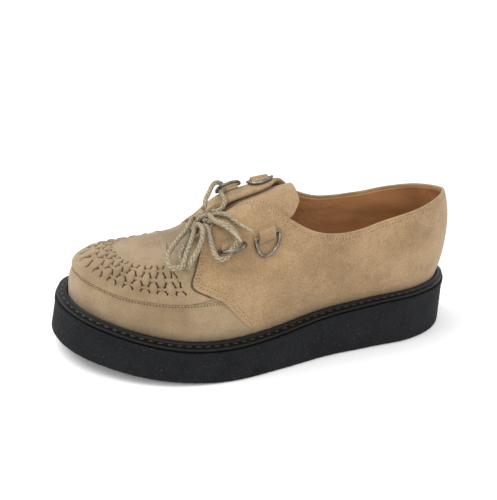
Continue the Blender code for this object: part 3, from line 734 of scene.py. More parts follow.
def vamp_line(part, band):
    """Share and rise at part of the way from the quarter's front edge to the toe."""
    front = quarter_front(band * THROAT_RISE)
    top = THROAT_RISE + (1 - THROAT_RISE) * np.minimum(part / THROAT_FAN, 1)
    return front + (1 - front) * part, band * top


def wall_line(side, share, rise, lift, inner):
    """Closed cross-section of the wall on one line, from the foot outside to the foot inside."""
    bend = np.linspace(0, math.pi, RIM_POINTS + 2)[1:-1]
    if rise[-1] > 1 - SHARED_END:
        outer = skin(side, share, rise, lift)
        inside = skin(side, share, rise, inner)
        rim = np.repeat(outer[-1:], len(bend), axis=0)
    else:
        below = last(side, share[-1], rise[-1] - RISE_STEP)
        per_rise = np.linalg.norm(last(side, share[-1], rise[-1]) - below) / RISE_STEP
        middle = (lift[-1] + inner[-1]) / 2
        half = (lift[-1] - inner[-1]) / 2
        lowered = np.clip(rise, 0, rise[-1] - half / per_rise)
        outer = skin(side, share, lowered, lift)
        inside = skin(side, share, lowered, inner)
        rim_rise = rise[-1] + (np.sin(bend) - 1) * half / per_rise
        rim = skin(side, np.full(len(bend), share[-1]), rim_rise, middle + half * np.cos(bend))
    _, out = plan(side, share[:1])
    foot = outer[0].copy()
    foot[2] = sole_top(foot[1]) + GAP
    seat = foot.copy()
    seat[:2] += out[0] * inner[0]
    inside[0] = seat + (0, 0, FEATHER_RISE - GAP)
    down = np.linspace(0, 1, FOOT_ROWS + 1)[:-1, None]
    outer_foot = foot + (outer[0] - foot) * down
    inner_foot = seat + (inside[0] - seat) * down
    return np.vstack([outer_foot, outer, rim, inside[::-1], inner_foot[::-1]])


def wall_faces(lines, start, side):
    """Quads between wall lines, turned outwards on both sides of the shoe."""
    faces = grid_faces(len(lines), len(lines[0]), True, start)
    return faces if side > 0 else faces[:, ::-1]


def end_faces(start, lines, side):
    """Quads that close a wall across its last line, from the outer face to the inner one."""
    count = len(lines[0])
    base = start + (len(lines) - 1) * count
    quads = []
    for index in range((count - 1) // 2):
        quad = (base + index, base + index + 1, base + count - 2 - index, base + count - 1 - index)
        quads.append(quad if side > 0 else quad[::-1])
    return np.array(quads)


# Napped suede: the flesh side of split calf, brushed to a short nap. It is matt, speckled at
# the size of the fibre tufts and mottled where the nap lies in different directions. A value
# kept on each vertex darkens it: dusty where it has been handled, just above the welt, and
# painted shade in the apron's slits and a painted shadow in the hollow below the knot. There
# is a faint velvet sheen and no gloss.
def suede_material(name, light, middle, dark, speckle):
    material, shader, place = start_material(name, 0.96, specular=0.12)
    shader.inputs["Sheen Weight"].default_value = 0.18
    shader.inputs["Sheen Roughness"].default_value = 0.6
    _, ramp = clouded(material, place, dark, light, 0.34, 0.68, 34.0, 3.0, 0.55)
    ramp.color_ramp.elements.new(0.5).color = linear(middle)
    brushed = add_node(material, "ShaderNodeTexNoise", [(place, 0)], in2=150.0, in3=4.0, in4=0.6, in8=0.5)
    tufts = add_node(material, "ShaderNodeTexNoise", [(place, 0)], in2=900.0, in3=3.0, in4=0.75)
    patch = add_node(material, "ShaderNodeMapRange", [(brushed.outputs[0], 0)],
                     in1=0.3, in2=0.7, in3=0.92, in4=1.08)
    grain = add_node(material, "ShaderNodeMapRange", [(tufts.outputs[0], 0)],
                     in1=0.32, in2=0.68, in3=1 - speckle, in4=1 + speckle)
    tone = add_node(material, "ShaderNodeMath", [(patch.outputs[0], 0), (grain.outputs[0], 1)],
                    operation="MULTIPLY")
    # The vertex value darkens the colour: dirt above the welt, painted shade in the apron's slits and
    # hollow.
    wear_and_shade = add_node(material, "ShaderNodeAttribute", attribute_name="soil_and_shade")
    kept = add_node(material, "ShaderNodeMapRange", [(wear_and_shade.outputs["Fac"], 0)], in3=1.0, in4=0.28)
    shade = add_node(material, "ShaderNodeMath", [(tone.outputs[0], 0), (kept.outputs[0], 1)],
                     operation="MULTIPLY")
    colour = add_node(material, "ShaderNodeVectorMath", [(ramp.outputs[0], 0), (shade.outputs[0], 3)],
                      operation="SCALE")
    fine = add_node(material, "ShaderNodeBump", [(tufts.outputs[0], 2)], in0=0.55, in1=0.0005)
    soft = add_node(material, "ShaderNodeBump", [(brushed.outputs[0], 2), (fine.outputs[0], 3)],
                    in0=0.35, in1=0.0009)
    lay_on(material, shader, colour, soft)
    return material


quarter_suede = suede_material("napped_quarter_suede", "#9f8462", "#967b5a", "#8a7151", 0.24)
vamp_suede = suede_material("napped_vamp_suede", "#988467", "#8f7a5e", "#836e53", 0.13)

SOIL_BY_WELT = 0.30
SOIL_HEIGHTS = (0.004, 0.013)
LAP = (0.89, 0.94)
HEEL_LAP = 0.0006
HEEL_LAP_EDGE = (0.0050, 0.0085)
FROM_FOOT = (0.05, 0.20)
QUARTER_STEPS = 170
VAMP_STEPS = 120
BANDS = 78
bands = np.linspace(0, 1, BANDS)
for part_name, suede, is_quarter in (("quarters", quarter_suede, True), ("vamp", vamp_suede, False)):
    points = []
    faces = []
    total = 0
    for side in (1, -1):
        lines = []
        steps = np.linspace(0, 1, (QUARTER_STEPS if is_quarter else VAMP_STEPS) + 1)
        if is_quarter:
            edge = EDGE_ROUNDING / (SIDE_RUN * THROAT)
            steps = np.concatenate([steps[:-2], 1 - edge * np.array(EDGE_STEPS)])
        for part in steps:
            share, rise = quarter_line(side, part, bands) if is_quarter else vamp_line(part, bands)
            if is_quarter:
                lift = quarter_height(share, rise) + crease_height(side, share, rise)
                if side > 0:
                    lift = lift - HEEL_LAP * (1 - ease(share, *HEEL_LAP_EDGE)) * ease(rise, *FROM_FOOT)
                lap = ease(part, *LAP)
                inner = (lift - QUARTER_WALL) * (1 - lap) + (GAP / 3) * lap
                short = np.clip((part - 1 + edge) / edge, 0, 1)
                lift = lift - np.minimum(EDGE_ROUNDING, lift * EDGE_SHARE) * (1 - math.sqrt(1 - short ** 2))
            else:
                lift = crease_height(side, share, rise)
                inner = np.full(len(share), -VAMP_WALL)
            lines.append(wall_line(side, share, rise, lift, inner))
        faces.append(wall_faces(lines, total, side))
        if is_quarter:
            faces.append(end_faces(total, lines, side))
        total += len(lines) * len(lines[0])
        points.extend(lines)
    points = np.vstack(points)
    by_welt = SOIL_BY_WELT * (1 - ease(points[:, 2] - sole_top(points[:, 1]), *SOIL_HEIGHTS))
    piece = add_piece(part_name, points, np.vstack(faces), suede, by_welt)
    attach(piece, "root")
    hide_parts("upper")


# Lining: thin vegetable-tanned calf glued inside the quarters. Wear has drawn it into fine
# slanting wrinkles; its folded edge shows just below the suede at the collar.
LINING_GAP = 0.00008
LINING_THICKNESS = 0.0004
LINING_END = 0.86
LINING_TOP = 0.965
WRINKLE_DEPTH = 0.00008
WRINKLE_RATES = (900.0, 210.0)
WANDER = 3.0
WANDER_RATES = (47.0, 31.0)
LINING_STEPS = 120

lining_leather, lining_shader, lining_place = start_material(
    "vegetable_tanned_lining_calf", 0.5, specular=0.4)
lining_turn = add_node(lining_leather, "ShaderNodeMapping", [(lining_place, 0)],
                       in2=(0.0, math.radians(35), math.radians(20)), in3=(1.0, 0.16, 1.0))
_, lining_ramp = clouded(lining_leather, lining_turn.outputs[0], "#8a5f3b", "#b8875a", 0.32, 0.7,
                         70.0, 4.0, 0.6)
lining_bump = grained(lining_leather, lining_turn.outputs[0], 420.0, 3.0, 0.45, 0.0005)
lay_on(lining_leather, lining_shader, lining_ramp, lining_bump)

points = []
faces = []
total = 0
for side in (1, -1):
    lines = []
    for part in np.linspace(0, LINING_END, LINING_STEPS):
        share, rise = quarter_line(side, part, bands * LINING_TOP)
        wall = quarter_height(share, rise) + crease_height(side, share, rise)
        outer = wall - QUARTER_WALL - LINING_GAP
        wander = WANDER * np.sin(rise * WANDER_RATES[1] + share * WANDER_RATES[0])
        fold = np.sin(share * WRINKLE_RATES[0] + rise * WRINKLE_RATES[1] + wander)
        inner = outer - LINING_THICKNESS - WRINKLE_DEPTH * fold * ease(rise, *FROM_FOOT)
        inner[-1] = outer[-1] - LINING_THICKNESS / 3
        lines.append(np.vstack([skin(side, share, rise, outer), skin(side, share, rise, inner)[::-1]]))
    faces.append(wall_faces(lines, total, side))
    faces.append(end_faces(total, lines, side))
    total += len(lines) * len(lines[0])
    points.extend(lines)
lining = add_piece("quarter_lining", np.vstack(points), np.vstack(faces), lining_leather)
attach(lining, "root")


# Sock and insole: a tan leather sock glued over the insole board, with a softened edge.
QUARTER_INSET = QUARTER_WALL + 3 * GAP
INSOLE_THICKNESS = 0.0035
SOCK_EDGE = 0.0008
STATIONS = 260
END_DENSITY = 0.45

station_steps = np.linspace(0, 1, STATIONS + 1)
station_shares = station_steps - END_DENSITY * np.sin(2 * math.pi * station_steps) / (2 * math.pi)
outer_points, outer_outs = plan(1, station_shares)
inner_points, inner_outs = plan(-1, station_shares[-2:0:-1])
station_points = np.vstack([outer_points, inner_points])
station_outs = np.vstack([outer_outs, inner_outs])


def sole_loop(inward, rise):
    """Closed loop around the shoe, inward of the sole's edge and above its top."""
    xy = station_points - station_outs * np.broadcast_to(inward, len(station_points))[:, None]
    return np.column_stack([xy, sole_top(xy[:, 1]) + rise])


def loft(name, loops, material, capped):
    """Skin through closed loops; capped closes both ends, and otherwise the last joins the first."""
    rows = loops if capped else loops + loops[:1]
    count = len(rows[0])
    faces = [tuple(quad) for quad in grid_faces(len(rows), count, True)]
    for start in (0, (len(rows) - 1) * count) if capped else ():
        for index in range(count // 2):
            quad = (index, index + 1, (-index - 1) % count, -index % count)
            faces.append(tuple(dict.fromkeys(start + corner for corner in quad)))
    piece = add_piece(name, np.vstack(rows), faces, material)
    turn_outwards(piece)
    return piece


sock_inset = welt_width(station_points[:, 1]) + QUARTER_INSET
sock = loft("leather_sock", [
    sole_loop(sock_inset, GAP),
    sole_loop(sock_inset, INSOLE_THICKNESS - SOCK_EDGE),
    sole_loop(sock_inset + 0.3 * SOCK_EDGE, INSOLE_THICKNESS - 0.3 * SOCK_EDGE),
    sole_loop(sock_inset + SOCK_EDGE, INSOLE_THICKNESS),
], lining_leather, True)
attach(sock, "root")
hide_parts("insole")


# Tongue: one piece of the same suede, skived at its sides, that lies under both facings; its
# round tip stands in the collar.
TONGUE_THICKNESS = 0.0022
TONGUE_CLEARANCE = 0.0014
TONGUE_SLACK = 0.0020
TONGUE_EDGE = (
    (0.428, 0.720),
    (0.440, 0.650),
    (0.480, 0.620),
    (0.540, 0.640),
    (0.600, 0.700),
    (0.690, 0.800),
)
TONGUE_DIVE = (0.545, 0.600)
TONGUE_ROWS = 60
TONGUE_COLUMNS = 26
TONGUE_EDGE_ROUND = 0.0007


def tongue_height(side, share, rise):
    """Tongue's top face: just under the facings, and under the vamp in front of them."""
    slack = TONGUE_SLACK * ease(1 - rise, 0, 0.25) if side < 0 else 0
    under_facing = quarter_height(share, rise) - QUARTER_WALL - slack
    dive = ease(share, *TONGUE_DIVE)
    return under_facing * (1 - dive) - VAMP_WALL * dive - TONGUE_CLEARANCE


def thick_sheet(name, grid, thickness, material, edge, soil_and_shade):
    """Sheet of points, outer face up, given thickness below it and rounded edges."""
    rows, columns = grid.shape[:2]
    faces = grid_faces(rows, columns)
    piece = add_piece(name, grid.reshape(-1, 3), faces, material, soil_and_shade.reshape(-1))
    solid = piece.modifiers.new("thickness", "SOLIDIFY")
    solid.thickness = thickness
    solid.offset = -1
    if edge:
        bevel = piece.modifiers.new("edges", "BEVEL")
        bevel.width = edge
        bevel.segments = 2
        bevel.limit_method = "ANGLE"
        bevel.angle_limit = math.radians(60)
    bake_modifiers(piece)
    return piece


def bake_modifiers(piece):
    """Replace a piece's mesh by what its modifiers give, and remove them."""
    seen = piece.evaluated_get(bpy.context.evaluated_depsgraph_get())
    data = bpy.data.meshes.new_from_object(seen)
    piece.modifiers.clear()
    piece.data = data
    data.shade_smooth()


grid = []
for share in np.linspace(TONGUE_EDGE[0][0], TONGUE_EDGE[-1][0], TONGUE_ROWS):
    edge = float(smooth(TONGUE_EDGE, 1, share))
    rises = np.linspace(edge, 1, TONGUE_COLUMNS)
    outer = skin(1, share, rises, tongue_height(1, share, rises))
    inner = skin(-1, share, rises[-2::-1], tongue_height(-1, share, rises[-2::-1]))
    grid.append(np.vstack([outer, inner]))
grid = np.array(grid)
tongue = thick_sheet("tongue_suede_piece", grid, TONGUE_THICKNESS, quarter_suede, TONGUE_EDGE_ROUND,
                     np.zeros(grid.shape[:2]))
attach(tongue, "root")
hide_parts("tongue")


# Apron: top of the vamp in the same suede, plain at its border and in the middle. Between
# them it is slit into straps that pass over and under three narrow straps laid round the
# toe; behind the last strap a long slit runs up to the plain middle.
APRON_THICKNESS = 0.0012
APRON_SEAT = 0.0010
APRON_MARGIN = {1: 0.005, -1: 0.020}
APRON_TIP = 0.056
APRON_SKIN = 0.0005
EDGE_SEAT = 0.0003
# Painted shade: the slits darken with their depth, and a painted shadow lies in the hollow below the knot.
SLIT_SHADE = 0.95
HOLLOW_SHARE = 0.712
HOLLOW_SHADE = 0.30
HOLLOW_REACH = 0.022
HOLLOW_RISE = (0.62, 0.84)
TIP_EASE = 0.08
LEAN_START = 0.1
STRAP_OVER = 0.00080
STRAP_UNDER = 0.00100
STRAP_ROUND = 0.00040
STRAP_WIDTH = 0.89
STRAP_NARROWED = 0.50
STRAP_TAPER = 0.50
CROSS_HALF = 0.20
CROSS_HEIGHT = -0.00005
OVER_BIAS = 0.35
SLIT_FLOOR = 0.00180
WOVEN_LEVELS = ((0.0, 0.55), (3.5, 4.0))
OPEN_LEVELS = ((0.0, 0.22), (3.82, 4.0))
ROLLED_LEVELS = (-1.0, -0.86)
APRON_EDGE = (
    (0.580, 0.222, 0.235),
    (0.651, 0.288, 0.300),
    (0.730, 0.324, 0.332),
    (0.818, 0.344, 0.350),
    (0.886, 0.374, 0.378),
    (0.945, 0.388, 0.390),
    (1.000, 0.392, 0.392),
)
# Slits along the border: number of the slit, its share along the side, and how far it leans
# forward from the border to the ridge
SLITS = (
    (-1.0, 0.660, 0.140),
    (0.0, 0.681, 0.112),
    (1.0, 0.698, 0.070),
    (2.0, 0.718, 0.052),
    (3.0, 0.737, 0.040),
    (5.0, 0.773, 0.028),
    (7.0, 0.814, 0.020),
    (9.0, 0.855, 0.012),
    (11.0, 0.905, 0.004),
    (12.0, 0.938, 0.000),
    (13.5, 1.000, 0.000),
)
# Rows across the apron from its edge (0) to the ridge (1): share along the side, then where
# the slits start, the three cross straps, and where the plain middle starts
WEAVE = (
    (0.640, 0.085, 0.150, 0.262, 0.390, 0.452),
    (0.700, 0.090, 0.155, 0.262, 0.390, 0.458),
    (0.760, 0.108, 0.165, 0.268, 0.395, 0.475),
    (0.810, 0.118, 0.192, 0.292, 0.415, 0.502),
    (0.850, 0.128, 0.225, 0.335, 0.455, 0.545),
    (0.905, 0.142, 0.310, 0.430, 0.540, 0.630),
    (0.960, 0.150, 0.400, 0.520, 0.620, 0.700),
    (1.000, 0.150, 0.420, 0.540, 0.640, 0.715),
)


def weave_part(share, level):
    """Part of the way to the ridge; level is -1 edge, 0 slits, 1 to 3 straps, 4 middle, 5 ridge."""
    marks = [np.zeros_like(share)] + [smooth(WEAVE, column, share) for column in range(1, 6)]
    marks.append(np.ones_like(share))
    marks = np.array(marks)
    index = np.clip(np.floor(level + 1).astype(int), 0, 5)
    rest = level + 1 - index
    columns = np.arange(len(share))
    return marks[index, columns] * (1 - rest) + marks[index + 1, columns] * rest


def strap_wave(number, level):
    """Rise of a strap, from 1 over a cross strap to below 0 under one, and how far it is woven."""
    over = np.where(number % 2 == 0, 1.0, -1.0)
    wave = (np.cos(math.pi * level) * over + OVER_BIAS) / (1 + OVER_BIAS)
    return wave, ease(level, *WOVEN_LEVELS[0]) * (1 - ease(level, *WOVEN_LEVELS[1]))


def strap_width(number, level):
    """Half width of a strap as a share of its half pitch."""
    wave, woven = strap_wave(number, level)
    return STRAP_WIDTH - STRAP_NARROWED * np.clip(STRAP_TAPER - wave, 0, 1) * woven


def strap_height(number, across, level):
    """Height of the weave over its base: strap number, place across it (-1 to 1), level."""
    wave, woven = strap_wave(number, level)
    width = strap_width(number, level)
    strap = woven * np.where(wave > 0, STRAP_OVER, STRAP_UNDER) * wave
    rounded = STRAP_ROUND * np.clip(np.abs(across) / width, 0, 1) ** 4 * woven
    opening = ease(level, *OPEN_LEVELS[0]) * (1 - ease(level, *OPEN_LEVELS[1]))
    from_row = (level - np.clip(np.round(level), 1, 3)) / CROSS_HALF
    cross = np.where(np.abs(from_row) <= 1, CROSS_HEIGHT - STRAP_ROUND * from_row ** 4, -SLIT_FLOOR)
    height = np.where(np.abs(across) <= width + 1e-6, strap - rounded, -SLIT_FLOOR * opening)
    return np.maximum(height, cross * woven - (1 - woven) * SLIT_FLOOR)


STRAP_STEPS = (-0.999, -0.86, -0.55, -0.2, 0.2, 0.55, 0.86, 0.999)
SLIT_LIP = 0.035
LIP_LIMIT = 0.985
BORDER_PLACE = -0.95
TAIL_SHARES = (1.0, 0.66, 0.33)
LEVELS = np.concatenate([
    (-1, -0.96, -0.91, -0.86, -0.7, -0.5, -0.3, -0.15, -0.05),
    np.linspace(0, 4, 105),
    (4.04, 4.12, 4.25, 4.4, 4.55, 4.7, 4.8, 4.9, 4.96, 5),
])
STRAPS = 14


def apron_line(side, place, behind, height):
    """Line of points from the apron's edge to the ridge: place among the slits at each level."""
    border = smooth(SLITS, 1, place)
    part = weave_part(border, LEVELS)
    share = np.clip(border + smooth(SLITS, 2, place) * np.maximum(part - LEAN_START, 0), 0, 1)
    edge = smooth(APRON_EDGE, 1 if side > 0 else 2, share)
    rise = edge + (1 - edge) * part
    if behind:
        at_throat = ease(rise, THROAT_RISE - TIP_EASE, 1)
        margin = APRON_MARGIN[side] * (1 - at_throat) + APRON_TIP * at_throat
        tail = quarter_front(np.minimum(rise, THROAT_RISE)) + margin
        share = np.minimum(tail * behind + share * (1 - behind), share)
    top = APRON_SEAT + APRON_THICKNESS
    rolled = (top - EDGE_SEAT) * (1 - ease(LEVELS, *ROLLED_LEVELS)) ** 2
    # Painted shade in the slits by their depth, and a painted shadow in the hollow below the knot behind
    # the plain middle.
    shaded = HOLLOW_SHADE * np.exp(-((share - HOLLOW_SHARE) / HOLLOW_REACH) ** 2)
    shaded = shaded * ease(rise, *HOLLOW_RISE)
    line = skin(side, share, rise, top + crease_height(side, share, rise) + height - rolled)
    return line, np.clip(-height / SLIT_FLOOR, 0, 1) * SLIT_SHADE + shaded


halves = []
for side in (1, -1):
    lines = [apron_line(side, np.full(len(LEVELS), BORDER_PLACE), behind, 0 * LEVELS)
             for behind in TAIL_SHARES]
    for number in range(-1, STRAPS):
        width = strap_width(number, LEVELS)
        lip = np.minimum(width + SLIT_LIP, LIP_LIMIT)
        next_lip = np.minimum(strap_width(number + 1, LEVELS) + SLIT_LIP, LIP_LIMIT)
        columns = [(number, width * step) for step in STRAP_STEPS]
        columns += [(number, lip), (number + 1, -next_lip)]
        if number == STRAPS - 1:
            columns = [(number, width * step) for step in STRAP_STEPS if step < 0] + [(number, 0 * width)]
        for owner, across in columns:
            place = owner + 0.5 + across / 2
            if owner == -1 and across.max() < 0:
                continue
            height = strap_height(owner, across, LEVELS)
            if owner == -1 and across is not lip:
                height = 0 * LEVELS
            lines.append(apron_line(side, place, 0, height))
    halves.append([np.array(part) for part in zip(*lines)])
grid, soil_and_shade = (np.concatenate([near, far[:, -2::-1]], axis=1) for near, far in zip(*halves))
apron = thick_sheet("woven_apron", grid, APRON_SKIN, vamp_suede, 0, soil_and_shade)
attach(apron, "root")
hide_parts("apron")


# Welt: moulded black strip, stitched to the sole around the upper; its inner edge stands up as
# a notched rib that closes the joint.
WELT_THICKNESS = 0.0028
STORM_RIB_HEIGHT = 0.0050
STORM_RIB_WIDTH = 0.0030
RIM_STEP = 0.0006
NOTCH_PITCH = 0.0024
NOTCH_DEPTH = 0.0004
RIB_FOOT = 0.0004

welt_rubber, welt_shader, welt_place = start_material("moulded_black_welt_rubber", 0.40, specular=0.22)
_, welt_ramp = clouded(welt_rubber, welt_place, "#060606", "#141414", 0.45, 0.80, 260.0, 4.0, 0.7)
welt_bump = grained(welt_rubber, welt_place, 1500.0, 2.0, 0.5, 0.0004)
lay_on(welt_rubber, welt_shader, welt_ramp, welt_bump)

widths = welt_width(station_points[:, 1])
station_run = run_along(station_points)
notch = NOTCH_DEPTH * (0.5 + 0.5 * np.cos(2 * math.pi * station_run / NOTCH_PITCH))
clear = 1.5 * GAP
shoulder = STORM_RIB_WIDTH / 4
welt = loft("storm_welt", [
    sole_loop(RIM_STEP, GAP),
    sole_loop(RIM_STEP, WELT_THICKNESS - RIM_STEP),
    sole_loop(1.3 * RIM_STEP, WELT_THICKNESS - 0.3 * RIM_STEP),
    sole_loop(2 * RIM_STEP, WELT_THICKNESS),
    sole_loop(0.5 * (widths - STORM_RIB_WIDTH), WELT_THICKNESS),
    sole_loop(widths - STORM_RIB_WIDTH - GAP, WELT_THICKNESS),
    sole_loop(widths - STORM_RIB_WIDTH + GAP, WELT_THICKNESS + RIB_FOOT),
    sole_loop(widths - STORM_RIB_WIDTH + 0.6 * shoulder, STORM_RIB_HEIGHT - 1.6 * RIM_STEP - notch),
    sole_loop(widths - STORM_RIB_WIDTH + shoulder, STORM_RIB_HEIGHT - RIM_STEP - notch),
    sole_loop(widths - 0.5 * STORM_RIB_WIDTH, STORM_RIB_HEIGHT - 0.3 * RIM_STEP - 0.7 * notch),
    sole_loop(widths - shoulder - clear, STORM_RIB_HEIGHT - RIM_STEP / 2 - 0.4 * notch),
    sole_loop(widths - clear, STORM_RIB_HEIGHT - 2 * RIM_STEP),
    sole_loop(widths - clear, GAP),
], welt_rubber, False)
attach(welt, "root")
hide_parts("welt")


# Outsole: one wedge of black crepe rubber. Its side is pebbled and a little uneven, dusted with
# pale specks, and ends in a smooth rim below the welt.
RIM_HEIGHT = 0.0034
EDGE_ROUND = 0.0016
SIDE_ROWS = 26
PEBBLE_DEPTH = 0.00016
PEBBLE_SCALE = 420.0
PEBBLE_FADE = 0.08

crepe_rubber, crepe_shader, crepe_place = start_material("pebbled_black_crepe_rubber", 0.80, specular=0.16)
_, crepe_ramp = clouded(crepe_rubber, crepe_place, "#101113", "#191a1d", 0.35, 0.70, 55.0, 4.0, 0.6)
_, crepe_specks = clouded(crepe_rubber, crepe_place, "#000000", "#4a4a4e", 0.62, 0.78, 1100.0, 2.0, 0.6)
crepe_colour = add_node(crepe_rubber, "ShaderNodeVectorMath",
                        [(crepe_ramp.outputs[0], 0), (crepe_specks.outputs[0], 1)], operation="ADD")
crepe_pebbles = add_node(crepe_rubber, "ShaderNodeTexVoronoi", [(crepe_place, 0)], in2=620.0)
crepe_bump = add_node(crepe_rubber, "ShaderNodeBump", [(crepe_pebbles.outputs[0], 2)], in0=1.0, in1=0.0010)
lay_on(crepe_rubber, crepe_shader, crepe_colour, crepe_bump)

side_top = sole_top(station_points[:, 1])
side_low = sole_bottom(station_points[:, 1])
side_flare = flare(station_points[:, 1])


def side_loop(height, out_by):
    """Closed loop around the sole's side at a height, out_by off the side's flared face."""
    share = (side_top - height) / (side_top - side_low)
    out = side_flare * share + out_by
    return np.column_stack([station_points + station_outs * out[:, None], height])


loops = []
for angle in np.linspace(0, math.pi / 2, 5)[:-1]:
    loops.append(side_loop(side_low + EDGE_ROUND * (1 - math.cos(angle)),
                           EDGE_ROUND * (math.sin(angle) - 1)))
for part in np.linspace(0, 1, SIDE_ROWS):
    height = (side_low + EDGE_ROUND) * (1 - part) + (side_top - RIM_HEIGHT) * part
    row = side_loop(height, 0)
    fade = float(ease(part, 0, PEBBLE_FADE) * (1 - ease(part, 1 - PEBBLE_FADE, 1)))
    bumps = np.array([noise.noise(Vector(place) * PEBBLE_SCALE) for place in row])
    row[:, :2] += station_outs * (bumps * PEBBLE_DEPTH * fade)[:, None]
    loops.append(row)
for below, out_by in ((RIM_HEIGHT - 0.3 * RIM_STEP, 0.75 * RIM_STEP), (RIM_HEIGHT - RIM_STEP, RIM_STEP),
                      (0.5 * RIM_HEIGHT, RIM_STEP), (RIM_STEP, RIM_STEP),
                      (0.3 * RIM_STEP, 0.7 * RIM_STEP), (0, 0), (0, -RIM_STEP)):
    loops.append(side_loop(side_top - below, out_by))
outsole = loft("crepe_wedge", loops, crepe_rubber, True)
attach(outsole, "root")
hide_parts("outsole")


# Lace rings: four D-rings of nickel-plated wire, each with its straight bar inside a keeper.
# The two rear ones lie flat; the lace draws the two front ones up.
RING_WIDTH = 0.0205
RING_DROP = 0.0150
RING_WIRE = 0.0023
RING_SIDES = 18
RING_REACH = 0.004
BOW_POINTS = 13
BOW_CURVE = 0.8
BAR_PLACES = (-0.85, -0.4, 0.0, 0.4, 0.85)
BAR_HEIGHT = RING_WIRE / 2 + GAP
# Name, side, share and rise of the bar's middle, and swing about the bar in degrees
RINGS = (
    ("outer_front", 1, 0.588, 0.562, 62),
    ("outer_rear", 1, 0.508, 0.563, 0),
    ("inner_front", -1, 0.560, 0.720, 158),
    ("inner_rear", -1, 0.490, 0.720, 180),
)

nickel, nickel_shader, nickel_place = start_material("worn_nickel_plate", 0.24, 1.0)
nickel_cloud, nickel_ramp = clouded(nickel, nickel_place, "#5d5850", "#8c867b", 0.35, 0.66,
                                    330.0, 4.0, 0.65)
nickel_rough = add_node(nickel, "ShaderNodeMapRange", [(nickel_cloud.outputs[0], 0)],
                        in1=0.3, in2=0.7, in3=0.36, in4=0.18)
lay_on(nickel, nickel_shader, nickel_ramp)
nickel.node_tree.links.new(nickel_rough.outputs[0], nickel_shader.inputs["Roughness"])


def on_quarter(side, share, rise, forward, up, out):
    """Points on the quarter, in metres from a place on it: to the toe, up and outwards."""
    step = 0.004

    def face(at_share, at_rise):
        return skin(side, at_share, at_rise, quarter_height(at_share, at_rise))

    per_share = np.linalg.norm(face(share + step, rise) - face(share - step, rise)) / (2 * step)
    per_rise = np.linalg.norm(face(share, rise + step) - face(share, rise - step)) / (2 * step)
    at_share = share + np.asarray(forward) / per_share
    at_rise = np.minimum(rise + np.asarray(up) / per_rise, 1.0)
    return skin(side, at_share, at_rise, quarter_height(at_share, at_rise) + out)


def ring_outline():
    """Smooth D: places along the bar and away from it."""
    half = (RING_WIDTH - RING_WIRE) / 2
    drop = RING_DROP - RING_WIRE
    bow = np.linspace(0, math.pi, BOW_POINTS)
    line = [(half * math.cos(a), drop * math.sin(a) ** BOW_CURVE) for a in bow]
    line = np.array(line + [(half * x, 0.0) for x in BAR_PLACES])
    for _ in range(3):
        following = np.roll(line, -1, axis=0)
        line = np.stack([0.75 * line + 0.25 * following, 0.25 * line + 0.75 * following], 1).reshape(-1, 2)
    return line[:, 0], line[:, 1]


along_bar, away = ring_outline()
for ring_name, side, share, rise, swing in RINGS:
    start = on_quarter(side, share, rise, 0, 0, BAR_HEIGHT)
    forward = unit(on_quarter(side, share, rise, RING_REACH, 0, BAR_HEIGHT) - start)
    upward = on_quarter(side, share, rise, 0, RING_REACH, BAR_HEIGHT) - start
    upward = unit(upward - forward * upward.dot(forward))
    outward = unit(on_quarter(side, share, rise, 0, 0, 2 * BAR_HEIGHT) - start)
    if swing % 180 == 0:
        centre = on_quarter(side, share, rise, along_bar, -away if swing == 0 else away, BAR_HEIGHT)
    else:
        bow = outward * math.sin(math.radians(swing)) - upward * math.cos(math.radians(swing))
        centre = start + forward * along_bar[:, None] + bow * away[:, None]
    tangent = unit(np.roll(centre, -1, axis=0) - np.roll(centre, 1, axis=0))
    flat_normal = unit(np.cross(centre - centre.mean(0), tangent).sum(0))
    first = unit(flat_normal - tangent * (tangent @ flat_normal)[:, None])
    second = np.cross(tangent, first)
    rows = centre[:, None] + spokes_around(first, second, RING_SIDES) * RING_WIRE / 2
    rows = np.concatenate([rows, rows[:1]])
    wire = add_piece("d_ring_wire_" + ring_name, rows.reshape(-1, 3),
                     grid_faces(len(rows), RING_SIDES, True), nickel)
    turn_outwards(wire)
    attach(wire, "root")
    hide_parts("d_ring_" + ring_name)


# Keepers: a strap of the quarter's suede over each ring's bar, glued down above and below it,
# with a row of stitches at its lower end.
KEEPER_WIDTH = 0.0125
KEEPER_LEATHER = 0.0013
KEEPER_ROWS = 25
KEEPER_COLUMNS = 11
KEEPER_EDGE_ROUND = 0.00035
KEEPER_SOIL = 0.06
# Place up the quarter and height of the outer face, from the bar's centre as shares of the wire
KEEPER_PROFILE = (
    (-1.75, 0.06),
    (-1.26, 0.44),
    (-0.70, 1.04),
    (0.00, 1.28),
    (0.70, 1.04),
    (1.26, 0.44),
    (1.80, 0.06),
    (2.60, 0.06),
)

for ring_name, side, share, rise, _ in RINGS:
    up_rows = np.linspace(KEEPER_PROFILE[-1][0], KEEPER_PROFILE[0][0], KEEPER_ROWS)
    heights = smooth(KEEPER_PROFILE, 1, up_rows)
    across, up_by = np.meshgrid(np.linspace(-0.5, 0.5, KEEPER_COLUMNS), up_rows)
    out_by = BAR_HEIGHT + np.repeat(heights[:, None], KEEPER_COLUMNS, axis=1) * RING_WIRE
    grid = on_quarter(side, share, rise, across * KEEPER_WIDTH, up_by * RING_WIRE, out_by)
    keeper = thick_sheet("keeper_strap_" + ring_name, grid if side > 0 else grid[:, ::-1],
                         KEEPER_LEATHER, quarter_suede, KEEPER_EDGE_ROUND,
                         np.full(grid.shape[:2], KEEPER_SOIL))
    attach(keeper, "root")
    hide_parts("lace_keeper_" + ring_name)


